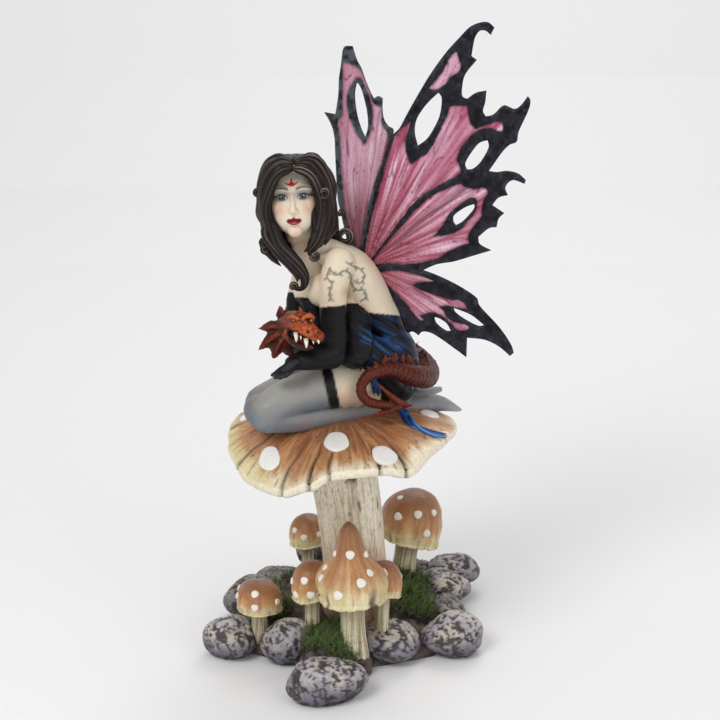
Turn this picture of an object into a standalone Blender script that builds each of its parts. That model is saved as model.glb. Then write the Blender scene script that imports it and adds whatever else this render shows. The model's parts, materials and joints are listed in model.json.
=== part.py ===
# Fairy figurine: a cast and painted resin fairy kneeling on a large toadstool,
# on a stone-rimmed ground casting with small toadstools and glued-on moss.
#
# Metres, +Z up.  The figurine stands on z = 0, its front faces -Y, +X is to the
# right as seen from the front.  Shapes are laid out on a front-view drawing:
# a drawing point (u right, v down, one unit = UNIT metres at mid depth) plus a
# depth in millimetres gives a point in space.  The drawing is a perspective one,
# seen from VIEW_DISTANCE away and VIEW_ELEVATION above the horizon.
import math

import bmesh
import bpy
import numpy as np
from mathutils import Matrix, Vector
from mathutils.geometry import tessellate_polygon

# ------------------------------------------------------------------ dimensions
VIEW_ELEVATION = math.radians(19.0)
VIEW_DISTANCE = 1.10
UNIT = 0.00062              # metres per drawing unit
SIGHT = (0.0105, 0.1942)    # x and z of the drawing's centre, before centring
CENTRE = (0.01051, 0.00133) # middle of the object's box, moved onto the origin

GLUE = 0.0003               # glue line between two castings
CAP_RADIUS = 0.071          # large toadstool cap
CAP_TOP = 0.1612
STEM_TOP = 0.1515
STEM_FOOT = 0.016
WING_THICKNESS = 0.0030

SE, CE = math.sin(VIEW_ELEVATION), math.cos(VIEW_ELEVATION)
FOCAL = VIEW_DISTANCE / UNIT
EYE = Vector((SIGHT[0], -VIEW_DISTANCE * CE, SIGHT[1] + VIEW_DISTANCE * SE))


def ray(u, v):
    """Direction of sight through a drawing point."""
    a, b = (u - 360) / FOCAL, -(v - 360) / FOCAL
    return Vector((a, CE + b * SE, -SE + b * CE))


def at(u, v, d):
    """Space point of a drawing point at depth d (mm, away from the viewer)."""
    r = ray(u, v)
    return EYE + r * ((d / 1000 - EYE.y) / r.y)


def on_plane(u, v, point, normal):
    r = ray(u, v)
    return EYE + r * ((point - EYE).dot(normal) / r.dot(normal))


def at_height(u, v, z):
    """Space point of a drawing point at height z (mm)."""
    r = ray(u, v)
    return EYE + r * ((z / 1000 - EYE.z) / r.z)


# ------------------------------------------------------------------ scene tools
for o in list(bpy.data.objects):
    bpy.data.objects.remove(o, do_unlink=True)

root = bpy.data.objects.new("figurine_origin", None)
bpy.context.scene.collection.objects.link(root)
root.location = (0, 0, 0)


def paint(name, colour, roughness=0.5, metallic=0.0):
    m = bpy.data.materials.new(name)
    m.use_nodes = True
    b = m.node_tree.nodes["Principled BSDF"]
    b.inputs["Base Color"].default_value = (*colour, 1)
    b.inputs["Roughness"].default_value = roughness
    b.inputs["Metallic"].default_value = metallic
    return m


def link(name, bm):
    me = bpy.data.meshes.new(name)
    bm.to_mesh(me)
    bm.free()
    ob = bpy.data.objects.new(name, me)
    bpy.context.scene.collection.objects.link(ob)
    return ob


def smooth_path(points, count):
    """Catmull-Rom path through rows of numbers."""
    p = np.array(points, float)
    p = np.vstack([2 * p[0] - p[1], p, 2 * p[-1] - p[-2]])
    out = []
    for t in np.linspace(0, len(p) - 3 - 1e-9, count):
        i = int(t)
        f = t - i
        a, b, c, e = p[i], p[i + 1], p[i + 2], p[i + 3]
        out.append(0.5 * (2 * b + (c - a) * f + (2 * a - 5 * b + 4 * c - e) * f * f
                          + (3 * b - a - 3 * c + e) * f ** 3))
    return np.array(out)


def tube(bm, stations, wide=(1, 0, 0), rings=12, sides=14):
    """Closed round-ended tube.  stations: (x, y, z, radius across, radius along 'wide') in metres."""
    s = smooth_path(stations, rings)
    c = [Vector(r[:3]) for r in s]
    wide = Vector(wide)
    loops = []
    n = len(c)
    dirs = [(c[min(i + 1, n - 1)] - c[max(i - 1, 0)]).normalized() for i in range(n)]
    plan = []
    for k in (0.98, 0.75, 0.35):
        plan.append((0, -k, math.sqrt(1 - k * k)))
    plan += [(i, 0, 1) for i in range(n)]
    for k in (0.35, 0.75, 0.98):
        plan.append((n - 1, k, math.sqrt(1 - k * k)))
    for i, push, scale in plan:
        t = dirs[i]
        w = (wide - t * wide.dot(t)).normalized()
        a = t.cross(w)
        ra, rw = max(s[i][3], 2e-4), max(s[i][4], 2e-4)
        centre = c[i] + t * push * min(ra, rw)
        loops.append([bm.verts.new(centre + a * ra * scale * math.cos(q) + w * rw * scale * math.sin(q))
                      for q in (2 * math.pi * k / sides for k in range(sides))])
    for a, b in zip(loops, loops[1:]):
        for k in range(sides):
            bm.faces.new((a[k], a[(k + 1) % sides], b[(k + 1) % sides], b[k]))
    bm.faces.new(list(reversed(loops[0])))
    bm.faces.new(loops[-1])


def limb(bm, pts, wide=(0.5, -0.87, 0), rings=12, sides=14):
    """Tube whose stations are drawing points: (u, v, depth, radius across mm, radius along wide mm)."""
    rows = []
    for u, v, d, ra, rw in pts:
        p = at(u, v, d)
        rows.append((p.x, p.y, p.z, ra / 1000, rw / 1000))
    tube(bm, rows, wide, rings, sides)


def ball(bm, centre, radii, turn=(0, 0, 0), segments=16, rings=10):
    m = (Matrix.Translation(Vector(centre))
         @ Matrix.Rotation(turn[2], 4, "Z") @ Matrix.Rotation(turn[1], 4, "Y") @ Matrix.Rotation(turn[0], 4, "X")
         @ Matrix.Diagonal((radii[0], radii[1], radii[2], 1)))
    bmesh.ops.create_uvsphere(bm, u_segments=segments, v_segments=rings, radius=1, matrix=m)


def spike(bm, base, tip, radius, flat=1.0, wide=(1, 0, 0)):
    """A pointed horn from base to tip."""
    b, t = Vector(base), Vector(tip)
    m = b.lerp(t, 0.5)
    tube(bm, [(*b, radius * flat, radius), (*m, radius * 0.62 * flat, radius * 0.62), (*t, 0.0004, 0.0004)], wide, 5, 10)


def frozen(ob):
    """Applies the modifiers of ob, as its own mesh."""
    bpy.context.view_layer.update()
    me = bpy.data.meshes.new_from_object(ob.evaluated_get(bpy.context.evaluated_depsgraph_get()))
    old = ob.data
    ob.modifiers.clear()
    ob.data = me
    bpy.data.meshes.remove(old)
    return ob


def one_body(ob):
    """Keeps the largest shell only, closed and facing out."""
    bm = bmesh.new()
    bm.from_mesh(ob.data)
    bmesh.ops.remove_doubles(bm, verts=bm.verts, dist=2e-6)
    bm.verts.index_update()
    bm.verts.ensure_lookup_table()
    seen, groups = set(), []
    for v in bm.verts:
        if v.index in seen:
            continue
        stack, group = [v], []
        seen.add(v.index)
        while stack:
            w = stack.pop()
            group.append(w)
            for e in w.link_edges:
                x = e.other_vert(w)
                if x.index not in seen:
                    seen.add(x.index)
                    stack.append(x)
        groups.append(group)
    groups.sort(key=len)
    spare = [v for group in groups[:-1] for v in group]
    if spare:
        bmesh.ops.delete(bm, geom=spare, context="VERTS")
    bmesh.ops.triangulate(bm, faces=bm.faces)
    bm.to_mesh(ob.data)
    bm.free()
    return ob


def fused(name, bm, voxel, triangles, smooth=2):
    """Melts the overlapping shapes of bm into one skin of about that many triangles."""
    bmesh.ops.recalc_face_normals(bm, faces=bm.faces)
    ob = link(name, bm)
    m = ob.modifiers.new("melt", "REMESH")
    m.mode, m.voxel_size, m.adaptivity = "VOXEL", voxel, 0
    if smooth:
        m = ob.modifiers.new("soften", "SMOOTH")
        m.factor, m.iterations = 0.5, smooth
    frozen(ob)
    one_body(ob)
    m = ob.modifiers.new("thin_out", "DECIMATE")
    m.ratio = min(1.0, triangles / max(1, len(ob.data.polygons)))
    frozen(ob)
    return one_body(ob)


def grown(ob, by):
    """A hidden cutter: ob grown along its normals."""
    c = ob.copy()
    c.data = ob.data.copy()
    c.name = "cutter_" + ob.name
    bpy.context.scene.collection.objects.link(c)
    c.hide_render = True
    c.display_type = "WIRE"
    n = np.zeros(len(c.data.vertices) * 3, np.float32)
    c.data.vertices.foreach_get("normal", n)
    co = np.zeros(len(c.data.vertices) * 3, np.float32)
    c.data.vertices.foreach_get("co", co)
    c.data.vertices.foreach_set("co", co + n * by)
    c.data.update()
    return c


def cut(ob, cutter, operation="DIFFERENCE"):
    m = ob.modifiers.new("cut", "BOOLEAN")
    m.operation, m.solver, m.object = operation, "EXACT", cutter
    frozen(ob)
    one_body(ob)
    return ob


def box_cutter(name, lo, hi):
    bm = bmesh.new()
    bmesh.ops.create_cube(bm, size=1)
    size = Vector(hi) - Vector(lo)
    bmesh.ops.scale(bm, vec=size, verts=bm.verts)
    bmesh.ops.translate(bm, vec=(Vector(lo) + Vector(hi)) / 2, verts=bm.verts)
    ob = link(name, bm)
    ob.hide_render = True
    ob.display_type = "WIRE"
    return ob


def finish(ob, material):
    ob.data.materials.clear()
    ob.data.materials.append(material)
    ob.data.shade_smooth()
    ob.data.set_sharp_from_angle(angle=math.radians(38))
    ob.parent = root


# ------------------------------------------------------------------ ground casting
# The earth is two low domes: (x, y, radius along x, radius along y, height), metres.
EARTH = [(0.002, 0.024, 0.073, 0.062, 0.030), (-0.006, -0.034, 0.024, 0.037, 0.025), (0.032, -0.008, 0.034, 0.021, 0.020),
         (-0.034, -0.006, 0.032, 0.020, 0.020)]


def ground_height(x, y):
    """Top of the earth between the stones, metres."""
    return max(h * math.sqrt(max(0.0, 1 - ((x - cx) / rx) ** 2 - ((y - cy) / ry) ** 2)) for cx, cy, rx, ry, h in EARTH)


# Stones: drawing centre (u, v), height of the centre, radii, turn about Z (degrees).
STONES = [
    (230, 638, 11, (17.5, 16.5, 13.5), 10),
    (288, 641, 11, (18.5, 16.0, 13.5), -12),
    (327, 681, 12, (24.0, 16.5, 14.5), 8),
    (385, 641, 12, (21.5, 16.5, 14.0), -6),
    (452, 634, 12, (20.5, 17.0, 13.5), 14),
    (443, 588, 12, (18.5, 14.0, 11.5), -8),
    (453, 569, 16, (17.0, 13.0, 12.0), 12),
    (250, 598, 12, (17.0, 16.0, 13.5), 35),
    (275, 586, 12, (17.0, 14.0, 12.0), 25),
    (311, 552, 25, (9.5, 9.0, 8.0), 0),
]
# Stones round the back: plan position (x, y), height of the centre, radii, turn.
BACK_STONES = [
    (-42, 68, 9, (16, 14, 10.5), -20),
    (-14, 80, 8, (17, 13, 10.0), 8),
    (20, 82, 8, (17, 12, 10.0), -6),
    (48, 76, 9, (14, 12, 10.5), 16),
    (68, 18, 10, (13, 15, 11.0), -4),
]


def stone(bm, centre, radii, turn, seed):
    """A boulder: a ball pressed out of round by slow waves."""
    m = Matrix.Translation(centre) @ Matrix.Rotation(math.radians(turn), 4, "Z")
    for v in bmesh.ops.create_icosphere(bm, subdivisions=3, radius=1, matrix=Matrix.Identity(4))["verts"]:
        p = v.co.copy()
        w = (0.06 * math.sin(3.1 * p.x + seed) + 0.05 * math.sin(3.7 * p.y + 2.1 * seed)
             + 0.045 * math.sin(4.3 * p.z + 1.3 * seed + 2 * p.x))
        p *= 1 + w
        v.co = m @ Vector((p.x * radii[0] / 1000, p.y * radii[1] / 1000, p.z * radii[2] / 1000))


bm = bmesh.new()
for cx, cy, rx, ry, h in EARTH:
    ball(bm, (cx, cy, 0), (rx, ry, h), segments=28, rings=14)
for i, (u, v, z, radii, turn) in enumerate(STONES):
    stone(bm, at_height(u, v, z), radii, turn, 1.7 * i + 0.4)
for i, (x, y, z, radii, turn) in enumerate(BACK_STONES):
    stone(bm, Vector((x / 1000, y / 1000, z / 1000)), radii, turn, 2.3 * i + 5.1)
stone_base = fused("stone_base", bm, 0.0022, 1500, 1)
cut(stone_base, box_cutter("cutter_table", (-0.3, -0.3, -0.1), (0.3, 0.3, 0.0)))


# ------------------------------------------------------------------ large toadstool
# Height of the cap's lower lip round the rim: (angle in degrees, mm).
LIP = [(-180, 141), (-160, 136), (-140, 127.5), (-117, 128), (-105, 135), (-92, 143), (-73, 143.5), (-52, 139),
       (-36, 145), (-16, 147.5), (10, 144), (40, 139), (70, 144), (100, 138), (135, 145), (160, 139)]


def lip(q):
    q = (math.degrees(q) + 180) % 360 - 180
    pts = LIP + [(180, 141)]
    for (a, za), (b, zb) in zip(pts, pts[1:]):
        if a <= q <= b:
            f = (q - a) / (b - a)
            f = f * f * (3 - 2 * f)
            return (za + (zb - za) * f) / 1000
    return 0.141


def rim_radius(q):
    return CAP_RADIUS * (1 + 0.018 * math.sin(3 * q + 0.7) + 0.012 * math.sin(7 * q + 2.0))


def cap_top(x, y):
    """Height of the cap's upper surface."""
    x += 0.002
    q, r = math.atan2(y, x), math.hypot(x, y)
    f = min(1.0, r / rim_radius(q))
    lip_top = lip(q) + 0.0065
    return lip_top + (CAP_TOP - lip_top) * (1 - f ** 3.0)


bm = bmesh.new()
N = 44
rows = []
for f in (0.3, 0.58, 0.76, 0.88, 0.96):
    rows.append([(f * rim_radius(q) * math.cos(q) - 0.002, f * rim_radius(q) * math.sin(q)) for q in
                 (2 * math.pi * k / N for k in range(N))])
rows = [[bm.verts.new((x, y, cap_top(x, y))) for x, y in row] for row in rows]
for f, drop in ((1.0, 0.0040), (0.98, 0.0)):
    rows.append([bm.verts.new((f * rim_radius(q) * math.cos(q) - 0.002, f * rim_radius(q) * math.sin(q), lip(q) + drop))
                 for q in (2 * math.pi * k / N for k in range(N))])
for f, z in ((0.80, 0.65), (0.45, 1.0)):
    rows.append([bm.verts.new((f * rim_radius(q) * math.cos(q) - 0.002, f * rim_radius(q) * math.sin(q),
                               lip(q) + (0.1485 - lip(q)) * z)) for q in (2 * math.pi * k / N for k in range(N))])
for a, b in zip(rows, rows[1:]):
    for k in range(N):
        bm.faces.new((a[k], b[k], b[(k + 1) % N], a[(k + 1) % N]))
top = bm.verts.new((-0.002, 0, CAP_TOP))
for k in range(N):
    bm.faces.new((top, rows[0][k], rows[0][(k + 1) % N]))
low = bm.verts.new((-0.002, 0, 0.1485))
for k in range(N):
    bm.faces.new((low, rows[-1][(k + 1) % N], rows[-1][k]))
bmesh.ops.recalc_face_normals(bm, faces=bm.faces)
toadstool_cap = one_body(link("toadstool_cap", bm))

# Stem: a waisted column whose head sits in a socket in the cap and whose foot sits in the ground.
STEM = [(-0.0015, STEM_TOP + 0.006, 15.5), (-0.0018, 0.1470, 21.2), (-0.0002, 0.122, 21.6), (0.0035, 0.095, 20.9),
        (0.007, 0.065, 20.0), (0.008, 0.045, 21.0), (0.008, 0.030, 22.5), (0.008, STEM_FOOT, 22.8)]
bm = bmesh.new()
N = 28
rows = []
for x, z, r in STEM:
    rows.append([bm.verts.new((x + r / 1000 * (1 + 0.02 * math.sin(5 * q)) * math.cos(q),
                               0.001 + r / 1000 * (1 + 0.02 * math.sin(5 * q)) * math.sin(q), z))
                 for q in (2 * math.pi * k / N for k in range(N))])
for a, b in zip(rows, rows[1:]):
    for k in range(N):
        bm.faces.new((a[k], b[k], b[(k + 1) % N], a[(k + 1) % N]))
bm.faces.new(rows[0])
bm.faces.new(list(reversed(rows[-1])))
bmesh.ops.recalc_face_normals(bm, faces=bm.faces)
toadstool_stem = one_body(link("toadstool_stem", bm))
cut(toadstool_cap, grown(toadstool_stem, GLUE))
cut(stone_base, grown(toadstool_stem, GLUE))


# ------------------------------------------------------------------ small toadstools
def turned(bm, profile, axis_foot, lean=(0, 0), sides=20, seed=0.0, ripple=0.03):
    """Closed turned shape: profile rows are (height, radius) in mm up the axis."""
    rows = []
    for h, r in profile:
        row = []
        for k in range(sides):
            q = 2 * math.pi * k / sides
            rr = r * (1 + ripple * math.sin(3 * q + seed) + ripple * 0.6 * math.sin(5 * q + 2 * seed))
            row.append(bm.verts.new(axis_foot + Vector((lean[0] * h + rr * math.cos(q), lean[1] * h + rr * math.sin(q), h)) / 1000))
        rows.append(row)
    for a, b in zip(rows, rows[1:]):
        for k in range(sides):
            bm.faces.new((a[k], a[(k + 1) % sides], b[(k + 1) % sides], b[k]))
    bm.faces.new(list(reversed(rows[0])))
    bm.faces.new(rows[-1])


KNOB = [(0.08, 1.0), (0.16, 0.97), (0.30, 0.86), (0.41, 0.68), (0.50, 0.56), (0.62, 0.46), (0.76, 0.37), (0.88, 0.28), (0.96, 0.16)]


def toadstool(bm, foot, stem_r, cap_r, rim_h, top_h, lean=(0, 0), bell=1.0, seed=0.0, shape=None):
    """Stem and domed cap as one profile; rim_h and top_h are heights above the foot in mm.
    shape replaces the dome by rows of (height, radius), both as parts of the cap's own."""
    prof = [(-7, stem_r * 1.05), (0, stem_r * 1.05), (rim_h * 0.55, stem_r * 0.9), (rim_h + 1.0, stem_r * 0.95),
            (rim_h + 1.2, cap_r * 0.72), (rim_h, cap_r * 0.93), (rim_h + 0.7, cap_r)]
    dome = [(f, (1 - f ** 2.0) ** (0.5 * bell)) for f in (0.12, 0.28, 0.46, 0.64, 0.8, 0.92, 0.985)]
    for f, k in shape or dome:
        r = cap_r * k
        prof.append((rim_h + 0.7 + (top_h - rim_h - 0.7) * f, r))
    prof.append((top_h, cap_r * 0.04))
    turned(bm, prof, foot, lean, 20, seed)


def small(name, items, voxel, triangles):
    bm = bmesh.new()
    for it in items:
        toadstool(bm, *it[0], **it[1])
    return fused(name, bm, voxel, triangles, 1)


front = small("toadstool_front_left", [((Vector((-0.0545, -0.0140, 0.013)), 5.8, 15.0, 19.0, 37.0), dict(seed=1.0))], 0.0011, 300)
group = small("toadstool_cluster", [
    ((Vector((0.0066, -0.0440, 0.013)), 7.6, 22.6, 38.0, 88.0), dict(shape=KNOB, lean=(-0.034, 0.02), seed=0.3)),
    ((Vector((-0.0215, -0.0300, 0.015)), 5.4, 12.3, 33.0, 57.0), dict(lean=(-0.04, -0.02), seed=2.3)),
    ((Vector((0.0240, -0.0270, 0.015)), 5.0, 11.5, 35.0, 54.0), dict(lean=(0.04, 0.02), seed=4.1)),
], 0.0012, 760)
right = small("toadstool_right", [((Vector((0.0385, 0.0600, 0.012)), 8.6, 21.2, 35.0, 69.0), dict(lean=(0.14, 0.0), bell=0.8, seed=3.0))], 0.0013, 360)
back = small("toadstool_back", [((Vector((-0.0250, 0.0620, 0.014)), 4.8, 12.4, 28.0, 48.5), dict(seed=5.0))], 0.0011, 260)
for t in (front, group, right, back):
    cut(t, grown(toadstool_stem, GLUE))
    cut(stone_base, grown(t, GLUE))


# ------------------------------------------------------------------ fairy
FORE, NEAR = Vector((-0.87, -0.50, 0)), Vector((0.50, -0.87, 0))
bm = bmesh.new()
# torso, neck, head
limb(bm, [(388, 374, 18, 19, 23), (386, 352, 16, 18, 23), (379, 326, 11, 14.5, 18.5), (362, 294, 4, 15.5, 20),
          (347, 270, -1, 15, 22), (333, 256, -5, 10, 19), (322, 249, -8, 8, 9)], NEAR, 14, 18)
limb(bm, [(323, 250, -8, 8, 8), (310, 238, -11, 7.2, 7.2), (302, 226, -12, 7.5, 7.5)], NEAR, 5, 12)
HEAD = at(294, 200, -12)
ball(bm, HEAD + Vector((0, 0.002, 0.006)), (0.0178, 0.0195, 0.0190))
ball(bm, HEAD + Vector((0.0003, -0.006, -0.006)), (0.0150, 0.0125, 0.0175))
ball(bm, at(324, 291, -19), (0.0105, 0.0105, 0.0105))
ball(bm, at(309, 290, -5), (0.0105, 0.0105, 0.0105))
# dress front, filling the lap between the arms
limb(bm, [(346, 308, -10, 9, 11), (352, 330, -14, 11, 14), (354, 352, -16, 10, 14)], NEAR, 6, 12)
limb(bm, [(312, 306, -10, 7, 8), (316, 326, -13, 8, 9), (322, 348, -19, 8, 10)], NEAR, 6, 12)
# near arm and hand on the thigh
limb(bm, [(339, 263, -21, 9.5, 9.5), (334, 285, -26, 8.8, 8.8), (333, 312, -29, 7.8, 7.8), (334, 345, -31, 7.4, 7.4),
          (332, 356, -33, 7.6, 7.6)], NEAR, 9, 12)
limb(bm, [(333, 354, -33, 7.6, 7.6), (316, 358, -38, 7.0, 7.0), (299, 361, -40, 5.2, 5.2), (288, 365, -40, 4.6, 3.6),
          (276, 372, -38, 3.0, 2.6)], NEAR, 8, 12)
# far arm, bent under the dragon's chin
limb(bm, [(312, 262, 14, 8.5, 8.5), (303, 280, 7, 7.4, 7.4), (298, 300, 2, 6.8, 6.8), (297, 326, -3, 6.6, 6.6),
          (302, 345, -14, 6.2, 6.2), (312, 352, -24, 5.5, 5.5)], NEAR, 10, 12)
# thighs and lower legs
limb(bm, [(390, 376, 6, 17, 17), (352, 381, -9, 14.6, 14.6), (314, 389, -20, 12.8, 12.8), (286, 399, -28, 11.8, 11.8),
          (268, 411, -32, 11.4, 11.4)], NEAR, 10, 14)
limb(bm, [(268, 415, -32, 11.2, 11.2), (300, 417, -24, 9.2, 9.2), (340, 412, -11, 8.4, 8.4), (378, 409, 4, 7.2, 7.2),
          (406, 407, 14, 5.8, 5.8), (436, 403, 24, 5.6, 5.2), (456, 408, 31, 2.4, 3.2)], NEAR, 12, 12)
limb(bm, [(382, 366, 26, 16, 16), (332, 375, 8, 14, 14), (296, 387, -4, 12.2, 12.2), (263, 403, -13, 11.2, 11.2)], NEAR, 9, 14)
limb(bm, [(264, 408, -12, 10.5, 10.5), (310, 406, 2, 9, 9), (360, 402, 18, 8, 8), (404, 398, 30, 5.8, 5.8),
          (438, 390, 39, 2.4, 3.2)], NEAR, 10, 12)
# skirt over the hips, reaching the seat
ball(bm, at(384, 368, 14), (0.0190, 0.0225, 0.0200))
limb(bm, [(372, 352, -14, 9, 12), (392, 372, -8, 12, 14), (398, 395, 2, 10, 13)], FORE, 6, 12)
# hair: crown, side falls and back mass
ball(bm, HEAD + Vector((0.0015, 0.0065, 0.0075)), (0.0212, 0.0205, 0.0195))
limb(bm, [(272, 180, -8, 5, 7), (264, 205, -10, 5, 7), (270, 232, -14, 7, 8), (283, 255, -16, 7.5, 7), (298, 272, -18, 5, 5),
          (297, 284, -18, 3.5, 3.5)], (0, 1, 0), 12, 12)
limb(bm, [(318, 180, -8, 6, 7), (326, 205, -11, 6.5, 7), (328, 228, -15, 7, 8), (322, 244, -20, 6, 7), (312, 250, -24, 3.5, 4)],
     (0, 1, 0), 10, 12)
limb(bm, [(306, 172, 8, 16, 13), (312, 205, 9, 16, 13), (322, 232, 6, 13, 12), (340, 244, 4, 6, 9)], (1, 0, 0), 8, 14)
# trailing ribbon of the dress, lying on the cap
limb(bm, [(400, 398, 2, 4, 3), (406, 414, 0, 4.2, 2.4), (414, 427, -4, 4.2, 2.0), (430, 434, -6, 4.0, 1.9), (452, 438, -8, 2.4, 1.6)],
     (0.3, -0.5, 0.8), 10, 10)
fairy = fused("fairy_figure", bm, 0.0014, 2800, 2)

# wing pockets in the back
PLANE_NEAR = (at(372, 266, 5), None)


def plane_through(a, b, c):
    n = (b - a).cross(c - a).normalized()
    return a, (n if n.y < 0 else -n)


NEAR_PLANE = plane_through(at(372, 266, 6), at(530, 266, -12), at(440, 40, 14))
FAR_PLANE = plane_through(at(366, 262, 13), at(324, 112, 78), at(394, 133, 19))
LEFT_ROOT = on_plane(366, 266, *NEAR_PLANE)
RIGHT_ROOT = on_plane(361, 255, *FAR_PLANE)

# ------------------------------------------------------------------ wings
# Outlines in drawing units, clockwise from the root.
LEFT_WING = [
    (363, 252), (366, 229), (371, 206), (378, 177), (386, 150), (392, 136), (399.5, 128), (407, 114), (416.4, 97.3),
    (430.2, 74.3), (445.5, 53), (459.3, 37.6), (470, 26.8), (480.7, 22.3), (488.4, 22.3), (494.5, 27.5), (490.7, 35),
    (485.3, 30.7), (479.2, 31.4), (474.6, 39.1), (471.5, 56), (476.9, 59.8), (465.4, 74.3), (462.3, 86.6), (462.3, 95.8),
    (467, 98.8), (476, 92.7), (486.5, 90.4), (485.3, 101.9), (483, 111), (486, 116.4), (493.7, 114.1), (503.7, 105.3),
    (514.4, 108.8), (521, 105), (527.9, 96), (530.5, 101), (528.2, 111), (519, 131), (516.7, 141.7), (509.8, 144.8),
    (502.1, 152.4), (489.1, 170.8), (497, 172), (506.7, 170.8), (517.5, 173.1), (525.9, 180), (524.5, 183.8),
    (512.7, 180.2), (505.5, 187), (507.8, 195.2), (498.7, 197.7), (492.4, 205), (504.3, 213.1), (498.7, 218.7),
    (496.6, 227.1), (488.8, 228.5), (478.3, 237), (480, 244), (491.4, 250.3), (470.6, 256.6), (453.8, 261.5),
    (437, 264.3), (423.6, 270), (439.8, 276.2), (459.4, 286), (476.2, 297.3), (480, 306), (495.9, 323.2), (504.3, 333.7),
    (511.3, 345), (513.8, 352.7), (510, 356), (498.7, 346.4), (484.6, 339.8), (467.1, 337.7), (466.4, 357.3),
    (456, 349.5), (434.2, 334.4), (423, 331.6), (418.7, 335.4), (413, 331.6), (406.1, 330.9), (398.4, 311.3),
    (390.7, 295.9), (380.5, 281), (372, 270)]
LEFT_HOLES = [
    [(438.6, 92.7), (441.7, 98.8), (440, 114), (434.8, 126.4), (427, 138.6), (417.9, 145.5), (414.9, 132.5), (416.4, 120.3),
     (422.5, 109.5), (430.2, 100.4)],
    [(487.6, 140.2), (488.4, 147.8), (480.7, 161.6), (473, 168.5), (466.9, 169.3), (465.4, 163.1), (471.5, 152.4), (479.2, 143.2)],
    [(474.1, 204), (474.1, 208), (469.2, 214.5), (462.2, 221.5), (455.9, 225), (453.5, 221), (454.5, 215), (465, 207.5)],
    [(453.8, 308), (462.2, 311), (472, 315.5), (484, 325), (479, 325.8), (470.6, 322.2), (462.2, 317.2), (455.5, 312)],
    [(434.5, 317), (439.8, 318.6), (446.8, 323.6), (450.8, 330.8), (446.8, 330.6), (441, 327), (436, 322)]]
RIGHT_FORE = [
    (356, 254), (349, 246), (344.5, 229), (341, 213), (338, 200), (336.6, 180), (335.4, 155), (334.5, 137), (331, 124),
    (324.3, 112), (335.5, 114), (338.3, 96), (339, 80), (341, 65), (343, 50), (346, 46), (352.5, 46), (357, 60), (361.3, 68),
    (366, 81), (371, 93), (374, 98.5), (378.5, 96), (382.5, 98), (382.5, 110), (384, 119), (388, 125.5), (393.5, 131),
    (388, 150), (382, 172), (375, 200), (370, 225), (365, 250), (362, 258)]
RIGHT_HOLE = [(358, 82), (354, 92), (352.5, 104), (354.5, 118), (360, 131), (365.5, 138), (369.5, 127), (370, 114), (367, 101), (362, 88)]
HIND = [(374, 270), (392, 266), (408, 267), (424, 270), (439.8, 276.2), (459.4, 286), (476.2, 297.3), (480, 306), (495.9, 323.2),
        (511.3, 345), (513.8, 352.7), (510, 356), (498.7, 346.4), (484.6, 339.8), (467.1, 337.7), (466.4, 357.3), (456, 349.5),
        (434.2, 334.4), (423, 331.6), (418.7, 335.4), (413, 331.6), (406.1, 330.9), (398.4, 311.3), (390.7, 295.9), (380.5, 281)]
HIND_AXES = (Vector((0.40, 0.90, -0.17)).normalized(), Vector((-0.02, 0.19, 0.98)).normalized())
HIND_SCALE = 0.86


def sheet(bm, loops, place, normal, thickness):
    """A flat plate with holes: place maps a drawing point to space."""
    flat = [[Vector((a, b, 0)) for a, b in loop] for loop in loops]
    tris = tessellate_polygon(flat)
    pts = [place(p.x, p.y) for loop in flat for p in loop]
    front = [bm.verts.new(p + normal * thickness / 2) for p in pts]
    rear = [bm.verts.new(p - normal * thickness / 2) for p in pts]
    for t in tris:
        bm.faces.new([front[i] for i in t])
        bm.faces.new([rear[i] for i in reversed(t)])
    start = 0
    for loop in flat:
        n = len(loop)
        for k in range(n):
            a, b = start + k, start + (k + 1) % n
            bm.faces.new((front[a], front[b], rear[b], rear[a]))
        start += n
    bmesh.ops.recalc_face_normals(bm, faces=bm.faces)


def tab(bm, centre, towards, normal, length, width, thick):
    """The root tab that slides into the pocket in the back."""
    side = towards.cross(normal).normalized()
    m = Matrix((towards, side, normal)).transposed().to_4x4()
    m.translation = centre
    bmesh.ops.create_cube(bm, size=1, matrix=m @ Matrix.Diagonal((length, width, thick, 1)))
    bmesh.ops.recalc_face_normals(bm, faces=bm.faces)


def wing(name, sheets, root_at, towards, normal):
    objects = []
    for loops, place, n in sheets:
        b = bmesh.new()
        sheet(b, loops, place, n, WING_THICKNESS)
        objects.append(one_body(link(name if not objects else name + "_part", b)))
    for extra in objects[1:]:
        extra.hide_render, extra.display_type = True, "WIRE"
        cut(objects[0], extra, "UNION")
    b = bmesh.new()
    tab(b, root_at, towards, normal, 0.016, 0.012, 0.0042)
    t = one_body(link(name + "_tab", b))
    t.hide_render, t.display_type = True, "WIRE"
    cut(objects[0], t, "UNION")
    pocket = grown(t, 0.0006)
    return objects[0], pocket


def hind_place(u, v):
    s, t = (u - 372) * UNIT * HIND_SCALE, (268 - v) * UNIT * HIND_SCALE
    return RIGHT_ROOT + HIND_AXES[0] * (s - 0.001) + HIND_AXES[1] * (t + 0.001)


wing_left, pocket_left = wing(
    "wing_left", [([LEFT_WING] + LEFT_HOLES, lambda u, v: on_plane(u, v, *NEAR_PLANE), NEAR_PLANE[1])],
    LEFT_ROOT, (on_plane(350, 268, *NEAR_PLANE) - on_plane(372, 268, *NEAR_PLANE)).normalized(), NEAR_PLANE[1])
HIND_NORMAL = HIND_AXES[0].cross(HIND_AXES[1]).normalized()
wing_right, pocket_right = wing(
    "wing_right", [([RIGHT_FORE, RIGHT_HOLE], lambda u, v: on_plane(u, v, *FAR_PLANE), FAR_PLANE[1]),
                   ([HIND] + LEFT_HOLES[3:], hind_place, HIND_NORMAL)],
    RIGHT_ROOT, Vector((-0.80, -0.55, -0.2)).normalized(), Vector((0.57, -0.82, 0.0)).normalized())

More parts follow.
